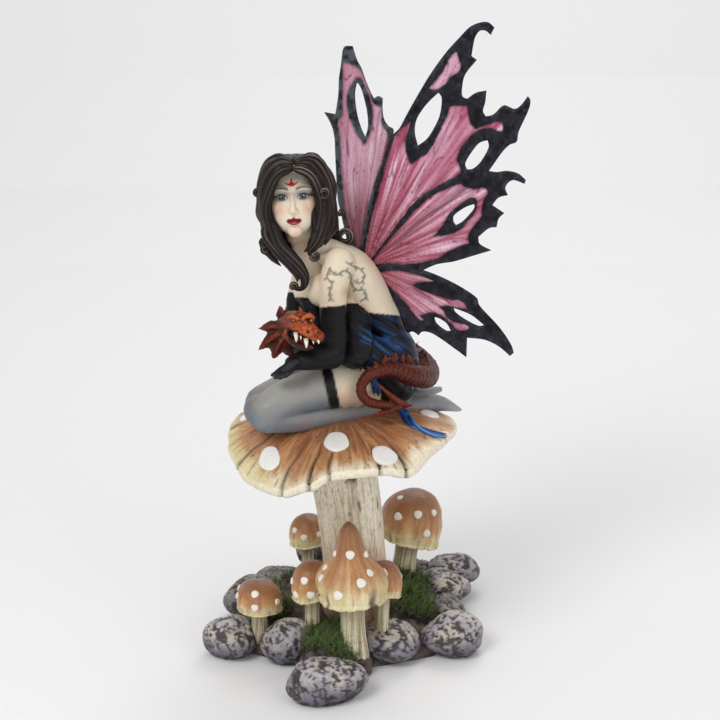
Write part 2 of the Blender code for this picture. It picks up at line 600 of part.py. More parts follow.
# The figure is carved to sit on the cap and to take the wing roots.
cut(fairy, grown(toadstool_cap, GLUE))
cut(fairy, grown(wing_left, 0.0005))
cut(fairy, grown(wing_right, 0.0005))
cut(wing_right, grown(wing_left, 0.0004))

# ------------------------------------------------------------------ small dragon round the waist
bm = bmesh.new()
limb(bm, [(318, 340, -55, 4.2, 5.0), (310, 333, -52, 5.6, 6.6), (300, 322, -46, 6.8, 8.0), (290, 322, -36, 6.4, 6.6),
          (284, 328, -24, 6.0, 6.0), (288, 342, -10, 6.6, 6.6), (300, 346, 8, 7.6, 7.6), (325, 342, 28, 8.4, 8.4),
          (365, 344, 45, 9.0, 9.0), (402, 352, 48, 9.0, 9.0), (423, 366, 34, 8.4, 8.4), (426, 376, 14, 7.6, 7.6),
          (412, 375, -8, 6.6, 6.6), (388, 369, -20, 4.6, 4.6), (368, 376, -27, 3.5, 3.5), (361, 390, -29, 3.2, 3.2),
          (369, 402, -29, 3.0, 3.0), (388, 405, -27, 2.7, 2.7), (404, 406, -25, 2.2, 2.2)], (0, 0, 1), 54, 12)
limb(bm, [(296, 340, -45, 3.5, 4.2), (306, 345, -51, 3.2, 4.0), (312, 347, -54, 2.2, 3.0)], (0, 0, 1), 5, 8)
for a, b, r in [((303, 318, -46), (298, 305, -43), 2.6), ((309, 321, -47), (309, 309, -44), 2.2), ((284, 318, -34), (279, 305, -32), 3.2),
                ((284, 325, -30), (258, 329, -28), 4.2), ((282, 331, -28), (258, 350, -30), 5.2), ((281, 334, -28), (273, 357, -34), 4.6)]:
    spike(bm, at(*a), at(*b), r / 1000, 0.6, (0, 1, 0))
# spines along the back and the arrow-shaped tail end
for u, v, d in [(372, 366, -22), (384, 363, -18), (395, 362, -14), (406, 364, -8), (416, 367, 0), (424, 371, 8), (431, 370, 18)]:
    spike(bm, at(u, v + 2, d), at(u, v - 12, d), 0.0030, 0.7, (1, 0, 0))
for a, b in [((396, 402, -26), (377, 383, -27)), ((398, 408, -26), (372, 417, -28)), ((400, 406, -26), (413, 406, -25))]:
    spike(bm, at(*a), at(*b), 0.0030, 0.6, (0, 1, 0))
dragon = fused("dragon", bm, 0.0011, 1500, 1)
for c in (toadstool_cap, fairy, wing_left, wing_right):
    cut(dragon, grown(c, GLUE))

# ------------------------------------------------------------------ moss pads glued to the ground
MOSS = [("moss_front", (331, 640, 20), (17, 13, 7)), ("moss_right", (405, 606, 20), (17, 16, 7)),
        ("moss_back_right", (413, 574, 24), (11, 10, 7)), ("moss_left", (276, 612, 20), (12, 9, 5))]
moss = []
for i, (name, (u, v, z), radii) in enumerate(MOSS):
    bm = bmesh.new()
    p = at_height(u, v, z)
    p.z = ground_height(p.x, p.y) + 0.0005
    stone(bm, p, radii, 20 * i, 3.1 * i)
    ob = fused(name, bm, 0.0018, 110, 1)
    for c in (stone_base, toadstool_stem, front, group, right, back):
        cut(ob, grown(c, 2 * GLUE))
    moss.append(ob)

# ------------------------------------------------------------------ paint and place
for ob, colour, rough in [
        (stone_base, (0.16, 0.15, 0.15), 0.55), (toadstool_cap, (0.50, 0.25, 0.10), 0.45), (toadstool_stem, (0.56, 0.53, 0.42), 0.6),
        (front, (0.60, 0.33, 0.16), 0.5), (group, (0.56, 0.26, 0.12), 0.5), (right, (0.56, 0.28, 0.12), 0.5),
        (back, (0.56, 0.28, 0.12), 0.5), (fairy, (0.66, 0.58, 0.47), 0.5), (dragon, (0.30, 0.06, 0.02), 0.45),
        (wing_left, (0.62, 0.26, 0.36), 0.4), (wing_right, (0.62, 0.26, 0.36), 0.4)] + [(m, (0.05, 0.10, 0.02), 0.9) for m in moss]:
    finish(ob, paint(ob.name + "_paint", colour, rough))
root.location = (-CENTRE[0], -CENTRE[1], 0)
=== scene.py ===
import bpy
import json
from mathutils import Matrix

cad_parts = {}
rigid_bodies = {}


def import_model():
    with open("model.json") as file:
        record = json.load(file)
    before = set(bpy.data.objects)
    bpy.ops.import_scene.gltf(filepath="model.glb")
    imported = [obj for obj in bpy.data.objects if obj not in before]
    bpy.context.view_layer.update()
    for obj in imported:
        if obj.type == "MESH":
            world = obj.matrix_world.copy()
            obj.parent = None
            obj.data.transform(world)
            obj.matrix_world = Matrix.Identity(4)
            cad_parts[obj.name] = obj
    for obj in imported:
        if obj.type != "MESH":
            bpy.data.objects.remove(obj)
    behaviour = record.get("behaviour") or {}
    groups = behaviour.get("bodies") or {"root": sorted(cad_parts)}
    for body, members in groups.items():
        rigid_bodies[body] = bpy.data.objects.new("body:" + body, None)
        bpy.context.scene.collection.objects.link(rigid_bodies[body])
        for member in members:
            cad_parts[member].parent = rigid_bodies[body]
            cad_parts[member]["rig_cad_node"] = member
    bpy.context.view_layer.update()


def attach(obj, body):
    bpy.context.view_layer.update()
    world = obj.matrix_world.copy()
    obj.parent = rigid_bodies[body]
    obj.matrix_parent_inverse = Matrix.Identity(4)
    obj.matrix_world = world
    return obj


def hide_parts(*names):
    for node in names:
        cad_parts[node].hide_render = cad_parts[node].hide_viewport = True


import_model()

import json
import math

import bmesh
import bpy
import numpy as np
from mathutils import Matrix, Vector
from mathutils.geometry import delaunay_2d_cdt

for spare in ("Cube", "Camera", "Light"):
    o = bpy.data.objects.get(spare)
    if o and "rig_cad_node" not in o:
        bpy.data.objects.remove(o, do_unlink=True)

# ---------------------------------------------------------------- drawing frame
EL = math.radians(19.0)
DIST, UNIT = 1.10, 0.00062
SIGHT = (0.0105, 0.1942)
CENTRE = (0.01051, 0.00133)
SE, CE = math.sin(EL), math.cos(EL)
FOCAL = DIST / UNIT
EYE = np.array([SIGHT[0] - CENTRE[0], -DIST * CE - CENTRE[1], SIGHT[1] + DIST * SE])


def ray(u, v):
    a, b = (u - 360) / FOCAL, -(v - 360) / FOCAL
    return np.array([a, CE + b * SE, -SE + b * CE])


def at(u, v, d):
    """Drawing point at depth d mm."""
    r = ray(u, v)
    return EYE + r * ((d / 1000 - CENTRE[1] - EYE[1]) / r[1])


def at_height(u, v, z):
    r = ray(u, v)
    return EYE + r * ((z / 1000 - EYE[2]) / r[2])


def on_plane(u, v, point, normal):
    r = ray(u, v)
    return EYE + r * (np.dot(point - EYE, normal) / np.dot(r, normal))


def drawn(p):
    """Drawing coordinates (u, v) of points, an (N, 3) array."""
    q = p - EYE
    dep = q[:, 1] * CE - q[:, 2] * SE
    up = q[:, 1] * SE + q[:, 2] * CE
    return 360 + FOCAL * q[:, 0] / dep, 360 - FOCAL * up / dep


def plan(x, y, z):
    """Plan position in mm, before centring."""
    return np.array([x / 1000 - CENTRE[0], y / 1000 - CENTRE[1], z / 1000])


# ---------------------------------------------------------------- numbers
def smooth(x, a, b):
    t = np.clip((x - a) / (b - a), 0, 1)
    return t * t * (3 - 2 * t)


def blend(a, b, t):
    t = np.asarray(t)[..., None]
    return np.asarray(a) * (1 - t) + np.asarray(b) * t


def rgb(r, g, b):
    a = np.array([r, g, b], float) / 255
    return np.where(a <= 0.04045, a / 12.92, ((a + 0.055) / 1.055) ** 2.4)


def lattice(i, seed):
    n = (i[:, 0] * 73856093) ^ (i[:, 1] * 19349663) ^ (i[:, 2] * 83492791) ^ (seed * 40503 + 977)
    n = (n ^ (n >> 13)) * 1274126177
    n = n ^ (n >> 16)
    n = (n * 668265263) ^ (n >> 11)
    return (n & 0xFFFFFF) / float(0xFFFFFF)


def wave(p, scale, seed=0):
    """Smooth lattice noise from -1 to 1."""
    q = np.asarray(p, float) / scale + 1000.5
    i = np.floor(q).astype(np.int64)
    f = q - i
    f = f * f * f * (f * (f * 6 - 15) + 10)
    out = np.zeros(len(q))
    for dx in (0, 1):
        for dy in (0, 1):
            for dz in (0, 1):
                w = ((f[:, 0] if dx else 1 - f[:, 0]) * (f[:, 1] if dy else 1 - f[:, 1]) * (f[:, 2] if dz else 1 - f[:, 2]))
                out += w * lattice(i + np.array([dx, dy, dz]), seed)
    return out * 2 - 1


def fbm(p, scale, octaves=4, seed=0, gain=0.5):
    out, a, total = 0, 1.0, 0.0
    for k in range(octaves):
        out = out + a * wave(p, scale / 2 ** k, seed + 17 * k)
        total += a
        a *= gain
    return out / total


def cells(p, scale, seed=0):
    """Distance to the nearest and second nearest scattered point, in cells."""
    q = np.asarray(p, float) / scale + 1000.5
    i = np.floor(q).astype(np.int64)
    d1, d2 = np.full(len(q), 9.0), np.full(len(q), 9.0)
    for dx in (-1, 0, 1):
        for dy in (-1, 0, 1):
            for dz in (-1, 0, 1):
                c = i + np.array([dx, dy, dz])
                site = c + np.stack([lattice(c, seed + k) for k in (1, 2, 3)], 1)
                d = np.sqrt(((q - site) ** 2).sum(1))
                d2 = np.minimum(d2, np.maximum(d1, d))
                d1 = np.minimum(d1, d)
    return d1, d2


def spline(points, count, closed=False):
    p = np.array(points, float)
    if closed:
        p = np.vstack([p[-1], p, p[0], p[1]])
    else:
        p = np.vstack([2 * p[0] - p[1], p, 2 * p[-1] - p[-2]])
    n = len(p) - 3
    t = np.linspace(0, n - 1e-9, count, endpoint=not closed)
    i = t.astype(int)
    f = (t - i)[:, None]
    a, b, c, e = p[i], p[i + 1], p[i + 2], p[i + 3]
    return 0.5 * (2 * b + (c - a) * f + (2 * a - 5 * b + 4 * c - e) * f ** 2 + (3 * b - a - 3 * c + e) * f ** 3)


# ---------------------------------------------------------------- meshes
def from_arrays(name, verts, faces, colour=None):
    me = bpy.data.meshes.new(name)
    me.from_pydata(np.asarray(verts, float).tolist(), [], [list(map(int, f)) for f in faces])
    me.validate()
    ob = bpy.data.objects.new(name, me)
    bpy.context.scene.collection.objects.link(ob)
    if colour is not None:
        tint(ob, colour)
    me.shade_smooth()
    return ob


def from_bmesh(name, bm):
    me = bpy.data.meshes.new(name)
    bm.to_mesh(me)
    bm.free()
    ob = bpy.data.objects.new(name, me)
    bpy.context.scene.collection.objects.link(ob)
    return ob


def tint(ob, colour):
    me = ob.data
    layer = me.color_attributes.get("paint") or me.color_attributes.new("paint", "FLOAT_COLOR", "POINT")
    full = np.ones((len(me.vertices), 4), np.float32)
    full[:, :3] = np.clip(colour, 0, 1)
    layer.data.foreach_set("color", full.ravel())


def places(ob):
    a = np.zeros(len(ob.data.vertices) * 3, np.float32)
    ob.data.vertices.foreach_get("co", a)
    return a.reshape(-1, 3).astype(float)


def put(ob, a):
    ob.data.vertices.foreach_set("co", np.asarray(a, np.float32).ravel())
    ob.data.update()


def normals(ob):
    a = np.zeros(len(ob.data.vertices) * 3, np.float32)
    ob.data.vertices.foreach_get("normal", a)
    return a.reshape(-1, 3).astype(float)


def edges(ob):
    e = np.zeros(len(ob.data.edges) * 2, np.int32)
    ob.data.edges.foreach_get("vertices", e)
    return e.reshape(-1, 2)


def spread(e, n, s, times):
    """Evens a value out over neighbouring vertices."""
    count = np.bincount(e[:, 0], minlength=n) + np.bincount(e[:, 1], minlength=n)
    for _ in range(times):
        t = np.bincount(e[:, 0], s[e[:, 1]], n) + np.bincount(e[:, 1], s[e[:, 0]], n)
        s = 0.5 * s + 0.5 * t / np.maximum(count, 1)
    return s


def relief(ob, times=3):
    """How far each vertex stands proud of its neighbours: above 0 on ridges, below 0 in creases."""
    p, n, e = places(ob), normals(ob), edges(ob)
    k = len(p)
    count = np.maximum(np.bincount(e[:, 0], minlength=k) + np.bincount(e[:, 1], minlength=k), 1)
    mean = np.stack([(np.bincount(e[:, 0], p[e[:, 1], c], k) + np.bincount(e[:, 1], p[e[:, 0], c], k)) / count
                     for c in range(3)], 1)
    length = np.linalg.norm(p[e[:, 0]] - p[e[:, 1]], axis=1).mean()
    r = ((p - mean) * n).sum(1) / length
    r = spread(e, k, r, times)
    return r / (np.percentile(np.abs(r), 90) + 1e-9)


def frozen(ob):
    bpy.context.view_layer.update()
    me = bpy.data.meshes.new_from_object(ob.evaluated_get(bpy.context.evaluated_depsgraph_get()))
    old = ob.data
    ob.modifiers.clear()
    ob.data = me
    bpy.data.meshes.remove(old)
    return ob


def melt(name, bm, voxel, soften=2):
    bmesh.ops.recalc_face_normals(bm, faces=bm.faces)
    ob = from_bmesh(name, bm)
    m = ob.modifiers.new("melt", "REMESH")
    m.mode, m.voxel_size, m.adaptivity = "VOXEL", voxel, 0
    if soften:
        m = ob.modifiers.new("soften", "SMOOTH")
        m.factor, m.iterations = 0.5, soften
    frozen(ob)
    ob.data.shade_smooth()
    return ob


def loft(rows, closed_ends=True):
    """Vertices and faces of a skin over rings: rows is (R, N, 3)."""
    r, n = rows.shape[:2]
    v = rows.reshape(-1, 3)
    k = np.arange(n)
    faces = []
    for i in range(r - 1):
        a, b = i * n, (i + 1) * n
        faces += np.stack([a + k, a + (k + 1) % n, b + (k + 1) % n, b + k], 1).tolist()
    if closed_ends:
        v = np.vstack([v, rows[0].mean(0), rows[-1].mean(0)])
        lo, hi = r * n, r * n + 1
        faces += np.stack([(k + 1) % n, k, np.full(n, lo)], 1).tolist()
        faces += np.stack([(r - 1) * n + k, (r - 1) * n + (k + 1) % n, np.full(n, hi)], 1).tolist()
    return v, faces


def frames(path, wide):
    t = np.gradient(path, axis=0)
    t /= np.linalg.norm(t, axis=1)[:, None] + 1e-12
    wide = np.asarray(wide, float)
    if wide.ndim == 1:
        wide = np.repeat(wide[None], len(path), 0)
    w = wide - t * (t * wide).sum(1)[:, None]
    w /= np.linalg.norm(w, axis=1)[:, None] + 1e-12
    return t, w, np.cross(t, w)


class Heap:
    """Gathers many closed shapes into one piece."""

    def __init__(self):
        self.v, self.f, self.c, self.n = [], [], [], 0

    def add(self, v, f, c):
        self.v.append(np.asarray(v, float))
        self.c.append(np.broadcast_to(np.asarray(c, float), (len(v), 3)))
        off = self.n
        self.f += [[i + off for i in face] for face in f]
        self.n += len(v)

    def piece(self, name):
        return from_arrays(name, np.vstack(self.v), self.f, np.vstack(self.c))


def tube(bm, path, ra, rw, wide, sides=18):
    """Round-ended tube into bm: ra is the radius across, rw along wide, both per station, metres."""
    _, w, a = frames(path, wide)
    t, _, _ = frames(path, wide)
    rows = []
    n = len(path)
    q = np.arange(sides) * 2 * math.pi / sides
    for i, push, k in ([(0, -s, math.sqrt(1 - s * s)) for s in (0.98, 0.8, 0.45)] + [(i, 0, 1) for i in range(n)]
                       + [(n - 1, s, math.sqrt(1 - s * s)) for s in (0.45, 0.8, 0.98)]):
        c = path[i] + t[i] * push * min(ra[i], rw[i])
        rows.append(c + np.outer(np.cos(q), a[i]) * ra[i] * k + np.outer(np.sin(q), w[i]) * rw[i] * k)
    loops = [[bm.verts.new(p) for p in row] for row in rows]
    for x, y in zip(loops, loops[1:]):
        for k in range(sides):
            bm.faces.new((x[k], x[(k + 1) % sides], y[(k + 1) % sides], y[k]))
    bm.faces.new(list(reversed(loops[0])))
    bm.faces.new(loops[-1])


NEAR, FORE = (0.50, -0.87, 0), (-0.87, -0.50, 0)


def stations(pts, count):
    """Rows of (u, v, depth, ra mm, rw mm) to (path, ra, rw) in metres."""
    s = spline([[*at(u, v, d), a / 1000, w / 1000] for u, v, d, a, w in pts], count)
    return s[:, :3], np.maximum(s[:, 3], 1e-4), np.maximum(s[:, 4], 1e-4)


def limb(bm, pts, wide=NEAR, count=24, sides=20):
    tube(bm, *stations(pts, count), wide, sides)


def ball(bm, centre, radii, turn=0.0, segments=24, rings=16):
    m = (Matrix.Translation(Vector(centre)) @ Matrix.Rotation(turn, 4, "Z")
         @ Matrix.Diagonal((radii[0], radii[1], radii[2], 1)))
    bmesh.ops.create_uvsphere(bm, u_segments=segments, v_segments=rings, radius=1, matrix=m)


def spike(bm, base, tip, radius, flat=0.7, wide=(0, 1, 0), bow=(0, 0, 0)):
    b, t = np.asarray(base, float), np.asarray(tip, float)
    path = spline([b, b * 0.6 + t * 0.4 + np.asarray(bow), t], 9)
    k = np.linspace(1, 0.06, 9)
    tube(bm, path, radius * flat * k, radius * k, wide, 12)


def near_line(p, path):
    """Distance of points to a polyline, and how far along it (0 to 1)."""
    best, along = np.full(len(p), 9.0), np.zeros(len(p))
    n = len(path) - 1
    for i in range(n):
        a, b = path[i], path[i + 1]
        ab = b - a
        s = np.clip(((p - a) @ ab) / (ab @ ab + 1e-15), 0, 1)
        d = np.linalg.norm(p - a - s[:, None] * ab, axis=1)
        m = d < best
        best[m] = d[m]
        along[m] = (i + s[m]) / n
    return best, along


# ---------------------------------------------------------------- paint
def material(name, rough=0.5, bumps=(), coat=0.0, mottle=(0.0016, 0.12), rough_swing=0.10, sheen=0.0, specular=0.5, subsurface=0.0):
    """Painted surface: the painted colour of each point, mottled, with fine relief. bumps: (size m, strength, stretch xyz)."""
    m = bpy.data.materials.new(name)
    m.use_nodes = True
    nodes, links = m.node_tree.nodes, m.node_tree.links
    b = nodes["Principled BSDF"]
    paint = nodes.new("ShaderNodeVertexColor")
    paint.layer_name = "paint"
    tc = nodes.new("ShaderNodeTexCoord")

    def grain(size, detail=4, stretch=(1, 1, 1)):
        mp = nodes.new("ShaderNodeMapping")
        mp.inputs["Scale"].default_value = [s / size for s in stretch]
        links.new(tc.outputs["Object"], mp.inputs["Vector"])
        n = nodes.new("ShaderNodeTexNoise")
        n.inputs["Scale"].default_value = 1.0
        n.inputs["Detail"].default_value = detail
        n.inputs["Roughness"].default_value = 0.6
        links.new(mp.outputs["Vector"], n.inputs["Vector"])
        return n.outputs["Fac"]

    g = grain(mottle[0])
    r = nodes.new("ShaderNodeMapRange")
    r.inputs["From Min"].default_value, r.inputs["From Max"].default_value = 0.3, 0.7
    r.inputs["To Min"].default_value, r.inputs["To Max"].default_value = 1 - mottle[1], 1 + mottle[1]
    links.new(g, r.inputs["Value"])
    mul = nodes.new("ShaderNodeVectorMath")
    mul.operation = "SCALE"
    links.new(paint.outputs["Color"], mul.inputs[0])
    links.new(r.outputs["Result"], mul.inputs["Scale"])
    links.new(mul.outputs["Vector"], b.inputs["Base Color"])
    g2 = grain(0.004, 3)
    rr = nodes.new("ShaderNodeMapRange")
    rr.inputs["From Min"].default_value, rr.inputs["From Max"].default_value = 0.3, 0.7
    rr.inputs["To Min"].default_value = max(0.05, rough - rough_swing)
    rr.inputs["To Max"].default_value = min(1.0, rough + rough_swing)
    links.new(g2, rr.inputs["Value"])
    links.new(rr.outputs["Result"], b.inputs["Roughness"])
    last = None
    for size, strength, stretch in bumps:
        bp = nodes.new("ShaderNodeBump")
        bp.inputs["Strength"].default_value = strength
        bp.inputs["Distance"].default_value = size * 0.5
        links.new(grain(size, 5, stretch), bp.inputs["Height"])
        if last:
            links.new(last, bp.inputs["Normal"])
        last = bp.outputs["Normal"]
    if last:
        links.new(last, b.inputs["Normal"])
    b.inputs["Coat Weight"].default_value = coat
    b.inputs["Coat Roughness"].default_value = 0.25
    b.inputs["Specular IOR Level"].default_value = specular
    b.inputs["Sheen Weight"].default_value = sheen
    b.inputs["Subsurface Weight"].default_value = subsurface
    b.inputs["Subsurface Scale"].default_value = 0.002
    return m


ONE = (1, 1, 1)
PAINT = {
    "stone": material("stone_paint", 0.40, [(0.0030, 0.5, ONE), (0.0008, 0.35, ONE)], coat=0.10, mottle=(0.0012, 0.22), specular=0.35),
    "earth": material("earth_paint", 0.75, [(0.0030, 0.7, ONE), (0.0009, 0.5, ONE)], mottle=(0.0018, 0.35)),
    "stem": material("stem_paint", 0.55, [(0.0016, 0.45, (1, 1, 0.12)), (0.0008, 0.3, ONE)], mottle=(0.0022, 0.16)),
    "cap": material("cap_paint", 0.42, [(0.0022, 0.3, ONE), (0.0007, 0.22, ONE)], coat=0.12, mottle=(0.0018, 0.14)),
    "spot": material("spot_paint", 0.38, [(0.0016, 0.25, ONE)], coat=0.1, mottle=(0.0018, 0.05)),
    "skin": material("skin_paint", 0.46, [(0.0012, 0.06, ONE)], mottle=(0.003, 0.035), subsurface=0.06, specular=0.22),
    "hair": material("hair_paint", 0.40, [(0.0006, 0.25, ONE)], mottle=(0.0010, 0.18), specular=0.18),
    "cloth": material("dress_paint", 0.40, [(0.0012, 0.28, ONE)], mottle=(0.0014, 0.18), specular=0.15),
    "stocking": material("stocking_paint", 0.44, [(0.0010, 0.12, ONE)], mottle=(0.0025, 0.05), specular=0.25),
    "dragon": material("dragon_paint", 0.36, [(0.0012, 0.35, ONE)], coat=0.04, mottle=(0.0010, 0.22), specular=0.22),
    "wing": material("wing_paint", 0.36, [(0.0016, 0.25, ONE), (0.0006, 0.15, ONE)], coat=0.03, mottle=(0.0016, 0.14), specular=0.14),
    "moss": material("moss_fibre", 0.85, [], mottle=(0.0010, 0.25), sheen=0.3, specular=0.2),
}


def settle(ob, paint, slot, *nodes):
    ob.data.materials.clear()
    ob.data.materials.append(PAINT[paint])
    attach(ob, "root")
    if nodes:
        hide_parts(*nodes)
    return ob


# ================================================================ ground
EARTH = [(2, 24, 73, 62, 30), (-6, -34, 24, 37, 25), (32, -8, 34, 21, 20), (-34, -6, 32, 20, 20), (4, -43, 14, 13, 29), (-20, -31, 12, 12, 28)]


def earth_top(x, y):
    """Height of the earth in mm at plan points in mm."""
    h = np.zeros(np.broadcast(x, y).shape)
    for cx, cy, rx, ry, top in EARTH:
        h = np.maximum(h, top * np.sqrt(np.maximum(0, 1 - ((x - cx) / rx) ** 2 - ((y - cy) / ry) ** 2)))
    return h


STONES = [
    (230, 638, 11, (17.5, 16.5, 13.5), 10), (288, 641, 11, (18.5, 16.0, 13.5), -12), (327, 681, 12, (22.4, 16.5, 14.5), 8),
    (385, 641, 12, (21.5, 16.5, 14.0), -6), (452, 634, 12, (20.5, 17.0, 13.5), 14), (443, 588, 12, (18.5, 14.0, 11.5), -8),
    (453, 569, 16, (17.0, 13.0, 12.0), 12), (250, 598, 12, (17.0, 16.0, 13.5), 35), (275, 586, 12, (17.0, 14.0, 12.0), 25),
    (311, 552, 25, (9.5, 9.0, 8.0), 0)]
BACK_STONES = [(-42, 68, 9, (16, 14, 10.5), -20), (-14, 80, 8, (17, 13, 10.0), 8), (20, 82, 8, (17, 12, 10.0), -6),
               (48, 76, 9, (14, 12, 10.5), 16), (68, 18, 10, (13, 15, 11.0), -4)]


def make_ground():
    bm = bmesh.new()
    for cx, cy, rx, ry, h in EARTH:
        ball(bm, plan(cx, cy, 0), (rx / 1000, ry / 1000, h / 1000), segments=40, rings=24)
    ob = melt("earth", bm, 0.0024, 1)
    p, n = places(ob), normals(ob)
    p += n * (fbm(p, 0.012, 5, 3) * 0.0022)[:, None]
    d1, _ = cells(p, 0.006, 4)
    p += n * ((0.5 - d1) * 0.0012)[:, None]
    p[:, 2] = np.maximum(p[:, 2], 0.0004)
    put(ob, p)
    r = relief(ob, 2)
    # painted shade and highlight: the earth is darker in its hollows and lighter on its lumps
    c = blend(rgb(30, 23, 20), rgb(104, 88, 80), smooth(r, -0.6, 1.6))
    c = blend(c, rgb(38, 46, 20), smooth(fbm(p, 0.02, 3, 9), 0.0, 0.5) * 0.45)
    tint(ob, c)
    settle(ob, "earth", "stones", "stone_base")

    heap = Heap()
    bm = bmesh.new()
    bmesh.ops.create_icosphere(bm, subdivisions=5, radius=1)
    unit = np.array([v.co for v in bm.verts])
    faces = [[v.index for v in f.verts] for f in bm.faces]
    bm.free()
    rows = [(at_height(u, v, z), r, t) for u, v, z, r, t in STONES] + [(plan(x, y, z), r, t) for x, y, z, r, t in BACK_STONES]
    for i, (c0, radii, turn) in enumerate(rows):
        seed = 1.7 * i + 0.4
        if i >= len(STONES):
            seed = 2.3 * (i - len(STONES)) + 5.1
        w = (0.06 * np.sin(3.1 * unit[:, 0] + seed) + 0.05 * np.sin(3.7 * unit[:, 1] + 2.1 * seed)
             + 0.045 * np.sin(4.3 * unit[:, 2] + 1.3 * seed + 2 * unit[:, 0]))
        q = unit * (1 + w)[:, None]
        local = q * np.array(radii) / 1000
        warp = local + np.stack([wave(local, 0.005, 40 + i), wave(local, 0.005, 60 + i), wave(local, 0.005, 80 + i)], 1) * 0.0020
        slant = np.array([[1.0, 0.35 * math.sin(i * 2.1), 0.2], [0, 1.0, 0.3 * math.cos(i * 1.7)], [0, 0, 0.62]])
        grain = warp @ slant
        pits = fbm(grain, 0.0033, 3, 21 + i, 0.55)
        small = fbm(grain, 0.0016, 2, 91 + i, 0.5)
        rough = fbm(local, 0.0016, 3, 51 + i, 0.6)
        wide = wave(local, 0.012, 31 + i)
        hollow = np.maximum(smooth(pits + 0.22 * wide, 0.12, 0.22), 0.85 * smooth(small + 0.25 * pits, 0.20, 0.30))
        h = 0.0004 - hollow * 0.0009 + rough * 0.00022 + wide * 0.0004 + smooth(-pits, 0.1, 0.5) * 0.0003
        d = unit / np.linalg.norm(unit, axis=1)[:, None]
        local = local + d * h[:, None]
        a = math.radians(turn)
        m = np.array([[math.cos(a), -math.sin(a), 0], [math.sin(a), math.cos(a), 0], [0, 0, 1]])
        world = local @ m.T + c0
        world[:, 2] = np.maximum(world[:, 2], 0.0)
        # painted light from above: each stone is lighter towards its top
        top = smooth(unit[:, 2] + 0.25 * wave(local, 0.008, 5 + i), -0.35, 0.75)
        cream = smooth(wave(local, 0.009, 70 + i) + 0.3 * top, -0.1, 0.6)
        face = blend(rgb(112, 108, 124), rgb(180, 176, 180), top)
        face = blend(face, rgb(208, 198, 182), cream * top * 0.75)
        face = blend(face, rgb(150, 122, 116), smooth(wave(local, 0.007, 75 + i), 0.45, 0.8) * 0.5)
        face = blend(face, rgb(92, 86, 96), smooth(rough, 0.05, 0.45) * 0.38)
        dark = blend(rgb(36, 32, 40), rgb(74, 62, 62), smooth(rough, -0.3, 0.4))
        c = blend(face, dark, np.clip(hollow * 1.1, 0, 0.95))
        # painted shade: darker on the underside of each stone
        c = blend(c, rgb(50, 43, 44), smooth(unit[:, 2], -0.25, -0.75) * 0.7)
        # painted shade: the stones at the back and the small one under the cap are darker
        if i in (7, 8) or i >= len(STONES):
            c = blend(c, rgb(46, 40, 38), 0.55)
        if i == 9:
            c = blend(c, rgb(60, 54, 52), 0.5)
        heap.add(world, faces, c)
    settle(heap.piece("stones"), "stone", "stones", "stone_base")


# ================================================================ large toadstool
LIP = [(-180, 141), (-160, 136), (-140, 127.5), (-117, 128), (-105, 135), (-92, 143), (-73, 143.5), (-52, 139),
       (-36, 145), (-16, 147.5), (10, 144), (40, 139), (70, 144), (100, 138), (135, 145), (160, 139), (180, 141)]
CAP_R, CAP_TOP = 0.071, 0.1612
CAP_X, CAP_Y = -0.002 - CENTRE[0], -CENTRE[1]


def lip(q):
    q = (np.degrees(q) + 180) % 360 - 180
    a = np.array([p[0] for p in LIP], float)
    z = np.array([p[1] for p in LIP], float)
    i = np.clip(np.searchsorted(a, q) - 1, 0, len(a) - 2)
    f = (q - a[i]) / (a[i + 1] - a[i])
    f = f * f * (3 - 2 * f)
    return (z[i] + (z[i + 1] - z[i]) * f) / 1000


def rim(q):
    return CAP_R * (1 + 0.018 * np.sin(3 * q + 0.7) + 0.012 * np.sin(7 * q + 2.0))


def cap_height(x, y):
    q, r = np.arctan2(y - CAP_Y, x - CAP_X), np.hypot(x - CAP_X, y - CAP_Y)
    f = np.minimum(1.0, r / rim(q))
    top = lip(q) + 0.0065
    return top + (CAP_TOP - top) * (1 - f ** 3.0)


SPLITS = [(303, 494, 1.0), (331, 480, 0.75), (373, 475, 0.8), (407, 478, 0.95), (436, 455, 0.8), (264, 491, 0.75), (240, 462, 0.7)]
BACK_SPLITS = [(22, 0.8), (48, 0.7), (77, 1.0), (103, 0.7), (128, 0.9), (152, 0.7), (178, 0.9)]


def on_cap(u, v):
    """Point of the cap's top seen at a place in the view."""
    lo, hi = 100.0, 175.0
    for _ in range(34):
        z = (lo + hi) / 2
        p = at_height(u, v, z)
        if cap_height(p[0], p[1]) * 1000 > z:
            lo = z
        else:
            hi = z
    return at_height(u, v, lo)


def split_angles():
    out = []
    for u, v, size in SPLITS:
        p = at_height(u, v, 140)
        out.append((math.atan2(p[1] - CAP_Y, p[0] - CAP_X), size))
    out += [(math.radians(deg), size) for deg, size in BACK_SPLITS]
    return sorted(((a + math.pi) % (2 * math.pi) - math.pi, size) for a, size in out)


def petals(q, f):
    """Splits between the petals of the cap (0 to 1) and the swell of each petal (0 to 1)."""
    rows = split_angles()
    a = np.array([r[0] for r in rows])
    k = np.array([r[1] for r in rows])
    turn = (q + math.pi) % (2 * math.pi) - math.pi + 0.05 * wave(np.stack([np.cos(q) * 2, np.sin(q) * 2, f * 5 + 0 * q], 1), 1.0, 44)
    d = (turn[:, None] - a[None] + math.pi) % (2 * math.pi) - math.pi
    cut = (k * np.exp(-(d / 0.011) ** 2)).max(1)
    left = np.where(d >= 0, d, 9).min(1)
    right = np.where(d < 0, -d, 9).min(1)
    t = left / (left + right)
    return cut, np.sqrt(np.clip(4 * t * (1 - t), 0, 1)), (k * np.exp(-(d / 0.040) ** 2)).max(1)


